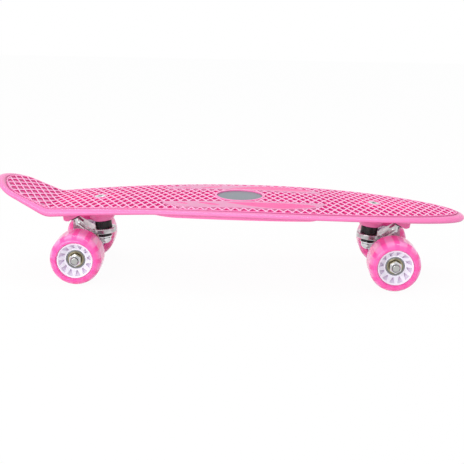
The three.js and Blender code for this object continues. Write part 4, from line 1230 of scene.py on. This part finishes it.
# A bar's section: shares of its half width and of its half height, with a channel in each side
BAR_SECTION = [
    (-1, -1), (1, -1), (1, -0.5), (0.72, -0.3), (0.72, 0.3), (1, 0.5), (1, 1), (-1, 1), (-1, 0.5),
    (-0.72, 0.3), (-0.72, -0.3), (-1, -0.5),
]

# One side of the gusset's outline in millimetres across the board and up, from axle to ring
GUSSET = [(27, 30), (27, 37), (7, 48.4)]


def tapered_bar(start, end, widths, heights):
    """A channelled bar between two places in the side view, of its own width and height at
    each end."""
    along = (end - start) / np.linalg.norm(end - start)
    up = np.array([-along[2], 0, along[0]])
    rows = []
    for place, wide, tall in zip((start, end), widths, heights):
        for side, lift in BAR_SECTION:
            rows.append(place + up * lift * tall / 2 + np.array([0, side * wide / 2, 0]))
    return ring_sheet(np.array(rows), 2, len(BAR_SECTION), False)


def hanger_ring():
    """The ring round the kingpin, with a seat sunk in its top for the upper bushing."""
    hole, seat, floor = 5.7 * MM, 10.3 * MM, RING_HALF - SEAT_DEPTH
    return on_kingpin(spun([
        (hole, -RING_HALF), (RING_RADIUS, -RING_HALF), (RING_RADIUS, RING_HALF),
        (seat, RING_HALF), (seat, floor), (hole, floor),
    ], [0.3, 1, 0.8, 0.3, 0.2, 0.3]))


def hanger_pivot():
    """The pivot: a thick foot, a neck that narrows, and a ball."""
    foot, thick = -12.5 * MM, 6.2 * MM
    neck = [(thick, foot), (thick, foot + 1.75 * MM), (3.75 * MM, -BALL_RADIUS)]
    return on_pivot(turned(neck + arc(BALL_RADIUS, -0.52, 1.55, 14), 48))


class SKATE_OT_hangers(bpy.types.Operator):
    """Builds the cast hangers and their axles."""

    bl_idname = "skate.hangers"
    bl_label = "Hangers and Axles"

    def execute(self, context):
        half, barrel, taper = 42 * MM, 32 * MM, 10 * MM
        neck, thick = 7 * MM, 9.5 * MM
        housing = spun([
            (AXIS, -half), (neck, -half), (neck, -barrel), (thick, taper - barrel),
            (thick, barrel - taper), (neck, barrel), (neck, half), (AXIS, half),
        ], [0, 0.5, 2, 4, 4, 2, 0.5, 0], 4, 48, closed=False)
        stem_way = np.array([math.cos(PIVOT_TILT), 0, math.sin(PIVOT_TILT)])
        stem_foot = PIVOT_CENTRE - stem_way * 9 * MM
        out = np.array([math.cos(KINGPIN_LEAN), 0, -math.sin(KINGPIN_LEAN)])
        arm_start = RING_CENTRE + out * 13 * MM
        arm = tapered_bar(arm_start, stem_foot, (22 * MM, 13 * MM), (6 * MM, 7 * MM))
        back = stem_foot[0] + 6.2 * MM
        web = prism([
            (back, stem_foot[2]), (RING_CENTRE[0] + RING_RADIUS, RING_CENTRE[2]),
            (-thick, AXLE_HEIGHT), (neck, AXLE_HEIGHT), (back, AXLE_HEIGHT + thick),
        ], 3.5 * MM)
        low, middle, top = np.array(GUSSET) * MM
        mirror = [-1, 1]
        outline = [low * mirror, low, middle, top, top * mirror, middle * mirror]
        gusset = prism(outline, 2.5 * MM, axis=0)
        axle = spun([
            (AXIS, -AXLE_HALF), (AXLE_RADIUS, -AXLE_HALF), (AXLE_RADIUS, AXLE_HALF),
            (AXIS, AXLE_HALF),
        ], [0, 0.8, 0.8, 0], 3, 48, closed=False)
        for truck in AXLE_PLACE:
            body = f"{truck}_truck"
            sheets = [on_axle(housing, truck)]
            for sheet in (hanger_ring(), arm, hanger_pivot(), web, gusset):
                sheets.append(settled(sheet, truck))
            add_piece(
                f"{truck}_cast_hanger", sheets, "cast metal", body, [f"{truck}_hanger"],
                "hanger_cast",
            )
            add_piece(
                f"{truck}_axle_rod", [on_axle(axle, truck)], "ground steel", body,
                [f"{truck}_axle"], "axle_steel",
            )
        return {"FINISHED"}


# ---- Wheel operators ----------------------------------------------------------------------


def tyre_sheet(wheel):
    """The tyre's closed section: a flat tread, elliptic shoulders, and sides that fall to the
    core's rim. Its paleness is a clipped wave of the angle that fades in over the side."""
    bore, half, lip = 21 * MM, 22 * MM, 19.7 * MM
    radius, fall, segments = 30 * MM, 7.85 * MM, 192
    angle = np.linspace(0, math.pi / 2, 14)
    outer = np.stack([
        radius - fall * (1 - np.cos(angle)), half - wheel.shoulder * (1 - np.sin(angle)),
    ], -1)
    outer = np.concatenate([outer, [[bore + 0.3 * MM, lip + 0.15 * MM], [bore, lip - 0.1 * MM]]])
    sheet = turned(np.concatenate([(outer * [1, -1])[::-1], outer]), segments, closed=True)
    x, y, _ = sheet[0].T
    wave = np.clip(1.1 - 2 * np.cos(wheel.pockets * np.arctan2(y, x)), 0, 1)
    return sheet, wave * np.clip((np.hypot(x, y) - 25 * MM) / (4 * MM), 0.15, 1)


def pocket_mask(radius, angle, wheel):
    """How deep a core's pocket is at a place, from 0 to 1. Each pocket is a fin: it starts at a
    round head near the hub, and its far side sweeps out and round to a broad outer end."""
    low, high, slant = 13.1 * MM, 18.8 * MM, 0.45 * MM
    pitch = 2 * math.pi / wheel.pockets
    share = np.clip((radius - low) / (high - low), 0, 1)
    start = 0.1 - 0.1 * share
    end = 0.2 + 0.52 * share**0.6
    turn = (angle % pitch) / pitch
    width = radius * pitch
    near = np.minimum((turn - start) * width, (end - turn) * width)
    reach = np.minimum(radius - low, high - radius)
    return np.clip(np.minimum(near, reach) / slant, 0, 1)


def core_sheet(wheel):
    """The core's closed section, with both dished faces worked out as radius and angle: the
    height is the dish's cone less the pockets. The pockets get a painted shade, strongest at their
    heads."""
    segments = 360
    bore, seat, rim, outer = 6.6 * MM, 11.3 * MM, 19.1 * MM, 20.7 * MM
    half, face, floor = 19.7 * MM, 12.6 * MM, 5.0 * MM
    dish = np.linspace(12.8 * MM, rim, 46)
    slope = (half - 0.9 * MM - face) / (rim - dish[0])
    lines = [(bore, floor), (seat, floor), (seat, face), (12.6 * MM, face + 0.1 * MM)]
    lines += list(zip(dish, face + 0.3 * MM + (dish - dish[0]) * slope))
    lines += [
        (rim + 0.25 * MM, half - 0.2 * MM), (rim + 0.5 * MM, half),
        (outer - 0.3 * MM, half), (outer, half - 0.3 * MM),
    ]
    radius, height = spread(lines, segments)
    pocket = pocket_mask(radius, round_angles(segments), wheel)
    height = height - wheel.pocket_depth * pocket
    # Painted shade in the pockets, strongest at their heads by the hub.
    tint = pocket * (1 - 0.55 * np.clip((radius - 13.3 * MM) / (5.4 * MM), 0, 1))
    radius = np.concatenate([radius, radius[::-1]])
    height = np.concatenate([height, -height[::-1]])
    return ringed(radius, height, closed=True), np.concatenate([tint, tint[::-1]]).reshape(-1)


def tube(inner, outer, high, reach):
    """A closed ring round Z from height 0, its four edges rounded."""
    return spun([(inner, 0), (outer, 0), (outer, high), (inner, high)], reach, 3)


def bearing_rings():
    """A bearing's pieces with their finishes and the rings they stand for. The race has its
    inner edges turned off, and the shield's faces dish a little."""
    wide, inside, step = 7 * MM, 9.3 * MM, 0.35 * MM
    race = spun([
        (inside, step), (9.5 * MM, 0), (11 * MM, 0), (11 * MM, wide), (9.5 * MM, wide),
        (inside, wide - step),
    ], 0.2, 3, 96)
    shield = spun([
        (6.4 * MM, 0.7 * MM), (9.2 * MM, 0.5 * MM), (9.2 * MM, wide - 0.5 * MM),
        (6.4 * MM, wide - 0.7 * MM),
    ], 0.15, 3, 96)
    return [
        ("bush", tube(BORE, 6 * MM, wide, 0.25), "ring steel", "inner_ring"),
        ("race", race, "ring steel", "outer_ring"),
        ("shield", shield, "brass", "outer_ring"),
    ]


def fitted_pieces():
    """What every wheel's axle carries: the piece, its sheet, its place out along the axle, its
    finish, the node it stands for and its slot."""
    washer = tube(BORE, 5.75 * MM, 0.8 * MM, 0.15)
    pieces = [
        ("near_washer", washer, 42.3 * MM, "brass", "inner_washer", "washer_brass"),
        ("far_washer", washer, 68.3 * MM, "brass", "outer_washer", "washer_brass"),
        ("lock_nut", lock_nut(7 * MM), 69.4 * MM, "plated steel", "axle_nut", "nut_steel"),
    ]
    for bearing, place in BEARING_PLACE.items():
        for name, sheet, look, ring in bearing_rings():
            cad = f"{bearing}_{ring}"
            pieces.append((f"{bearing}_{name}", sheet, place, look, cad, "bearing_steel"))
    return pieces


class SKATE_OT_wheels(bpy.types.Operator):
    """Builds the tyres, cores, bearings, washers and axle nuts."""

    bl_idname = "skate.wheels"
    bl_label = "Wheels"

    def execute(self, context):
        wheel = context.scene.skate_wheel
        # The core's pocket values are the painted shade in its pockets.
        (tyre, paleness), (core, pockets) = tyre_sheet(wheel), core_sheet(wheel)
        turned_over = core[0] * [1, -1, -1], core[1]
        fitted = fitted_pieces()
        for truck, way in WAYS.items():
            for hand, side in HANDS.items():
                label, sign = f"{truck}_{hand}", side * way
                spin = f"{label}_wheel"
                shown = turned_over if label == "front_right" else core
                add_piece(
                    f"{label}_soft_tyre", [on_axle(tyre, truck, WHEEL_MIDDLE, sign)], "soft tyre",
                    spin, [f"{label}_tyre"], "tyre_soft", masks={"paleness": paleness},
                )
                add_piece(
                    f"{label}_hard_core", [on_axle(shown, truck, WHEEL_MIDDLE, sign)], "hard core",
                    spin, [f"{label}_core"], "core_plastic", masks={"pocket": pockets},
                )
                for name, sheet, place, look, cad, slot in fitted:
                    body = spin if cad.endswith("outer_ring") else f"{truck}_truck"
                    placed = on_axle(sheet, truck, place, sign)
                    add_piece(f"{label}_{name}", [placed], look, body, [f"{label}_{cad}"], slot)
                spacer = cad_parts[f"{label}_bearing_spacer"]
                if not spacer.material_slots:
                    spacer.data.materials.append(bpy.data.materials["ground steel"])
                for held in spacer.material_slots:
                    held.material = bpy.data.materials["ground steel"]
        return {"FINISHED"}


# ---- Stage --------------------------------------------------------------------------------


def set_camera(context):
    """The photograph's viewpoint: its place, turn, tilt and roll, and a lens of its angle."""
    yaw, pitch, roll = CAMERA_YAW, CAMERA_PITCH, CAMERA_ROLL
    level = math.cos(pitch)
    ahead = Vector((math.sin(yaw) * level, math.cos(yaw) * level, -math.sin(pitch)))
    right = Vector((math.cos(yaw), -math.sin(yaw), 0))
    up = right.cross(ahead)
    tilted_right = math.cos(roll) * right + math.sin(roll) * up
    tilted_up = -math.sin(roll) * right + math.cos(roll) * up
    turn = Matrix((tilted_right, tilted_up, -ahead)).transposed().to_4x4()
    camera = bpy.data.objects.new("photo camera", bpy.data.cameras.new("photo camera"))
    camera.data.sensor_width = SENSOR_WIDTH
    camera.data.lens = FOCAL_PIXELS * SENSOR_WIDTH / IMAGE_WIDTH
    camera.data.clip_start, camera.data.clip_end = 0.05, 20
    camera.matrix_world = Matrix.Translation(CAMERA_PLACE) @ turn
    context.scene.collection.objects.link(camera)
    context.scene.camera = camera


def area_lamp(context, name, place, size, power):
    """A rectangular lamp that faces the board."""
    lamp = bpy.data.lights.new(name, "AREA")
    lamp.shape = "RECTANGLE"
    lamp.size, lamp.size_y = size
    lamp.energy = power
    holder = bpy.data.objects.new(name, lamp)
    turn = (Vector(LAMP_AIM) - Vector(place)).to_track_quat("-Z", "Y").to_matrix().to_4x4()
    holder.matrix_world = Matrix.Translation(place) @ turn
    context.scene.collection.objects.link(holder)


def bright_to_camera(tree, white_kind, shade, end, share):
    """Mixes plain white, by its share, into what rays from the camera, mirrors and glass see.
    All other rays see the shade alone."""
    path = node(tree, "ShaderNodeLightPath")
    seen = node(tree, "ShaderNodeMath", operation="MAXIMUM")
    through = node(tree, "ShaderNodeMath", operation="MAXIMUM")
    part = node(tree, "ShaderNodeMath", {1: share}, operation="MULTIPLY")
    white = node(tree, white_kind, {"Strength": 1.0, "Color": WHITE})
    mix = node(tree, "ShaderNodeMixShader")
    wire(
        tree,
        (path, "Is Camera Ray", seen, 0),
        (path, "Is Transmission Ray", seen, 1),
        (seen, 0, through, 0),
        (path, "Is Glossy Ray", through, 1),
        (through, 0, part, 0),
        (part, 0, mix, "Fac"),
        (shade, 0, mix, 1),
        (white, 0, mix, 2),
        (mix, 0, end, "Surface"),
    )


def make_surroundings(context, stage):
    """A white world whose strength changes with height, from the horizon's to the sky's."""
    world = bpy.data.worlds.new("pale surroundings")
    world.use_nodes = True
    context.scene.world = world
    tree = world.node_tree
    ambient = tree.nodes["Background"]
    ambient.inputs["Color"].default_value = WHITE
    way = node(tree, "ShaderNodeTexCoord")
    split = node(tree, "ShaderNodeSeparateXYZ")
    rise = node(tree, "ShaderNodeMapRange", {"To Min": stage.horizon, "To Max": stage.sky})
    wire(
        tree,
        (way, "Generated", split, 0),
        (split, "Z", rise, "Value"),
        (rise, "Result", ambient, "Strength"),
    )
    bright_to_camera(tree, "ShaderNodeBackground", ambient, tree.nodes["World Output"], 1.0)


def make_floor(context):
    """A pale floor that keeps the board's shadow."""
    mesh = bpy.data.meshes.new("pale floor")
    signs = [(-1, -1), (1, -1), (1, 1), (-1, 1)]
    corners = [(x * FLOOR_HALF, y * FLOOR_HALF, 0) for x, y in signs]
    mesh.from_pydata(corners, [], [(0, 1, 2, 3)])
    floor = bpy.data.objects.new("pale_floor", mesh)
    context.scene.collection.objects.link(floor)
    pale = bpy.data.materials.new("pale floor")
    pale.use_nodes = True
    tree = pale.node_tree
    tree.nodes.remove(tree.nodes["Principled BSDF"])
    plain = node(tree, "ShaderNodeBsdfDiffuse", {"Color": (0.9, 0.9, 0.9, 1)})
    bright_to_camera(tree, "ShaderNodeEmission", plain, tree.nodes["Material Output"], 0.96)
    mesh.materials.append(pale)


class SKATE_OT_stage(bpy.types.Operator):
    """Sets the camera, the floor, the lamps and the pale surroundings."""

    bl_idname = "skate.stage"
    bl_label = "Stage"

    def execute(self, context):
        stage = context.scene.skate_stage
        context.scene.view_settings.view_transform = "Standard"
        set_camera(context)
        area_lamp(context, "top lamp", (0.1, 0.2, 1.3), (1.8, 0.12), stage.top_power)
        area_lamp(context, "front lamp", (-0.8, -1.4, 0.7), (1.4, 0.8), stage.front_power)
        make_surroundings(context, stage)
        make_floor(context)
        return {"FINISHED"}


class SKATE_PT_board(bpy.types.Panel):
    """Lists the board's settings and its operators."""

    bl_label = "Cruiser Skateboard"
    bl_idname = "SKATE_PT_board"
    bl_space_type = "VIEW_3D"
    bl_region_type = "UI"
    bl_category = "Skateboard"

    def draw(self, context):
        for key in GROUPS:
            group = getattr(context.scene, key)
            box = self.layout.box()
            for name in group.__annotations__:
                box.prop(group, name)
        for operator in OPERATORS:
            self.layout.operator(operator.bl_idname)


OPERATORS = (
    SKATE_OT_stage, SKATE_OT_lattice, SKATE_OT_rim, SKATE_OT_underside, SKATE_OT_pads,
    SKATE_OT_badge, SKATE_OT_truck_bases, SKATE_OT_kingpins, SKATE_OT_hangers, SKATE_OT_wheels,
)
GROUPS = {
    "skate_deck": DeckSettings,
    "skate_wheel": WheelSettings,
    "skate_finish": FinishSettings,
    "skate_stage": StageSettings,
}


def register():
    for made in (*GROUPS.values(), *OPERATORS, SKATE_PT_board):
        bpy.utils.register_class(made)
    for name, group in GROUPS.items():
        setattr(bpy.types.Scene, name, PointerProperty(type=group))


def unregister():
    for name in GROUPS:
        delattr(bpy.types.Scene, name)
    for made in (SKATE_PT_board, *reversed(OPERATORS), *reversed(list(GROUPS.values()))):
        bpy.utils.unregister_class(made)


def main():
    register()
    make_finishes(bpy.context.scene.skate_finish)
    for operator in OPERATORS:
        getattr(bpy.ops.skate, operator.bl_idname.split(".")[1])()


if __name__ == "__main__":
    main()
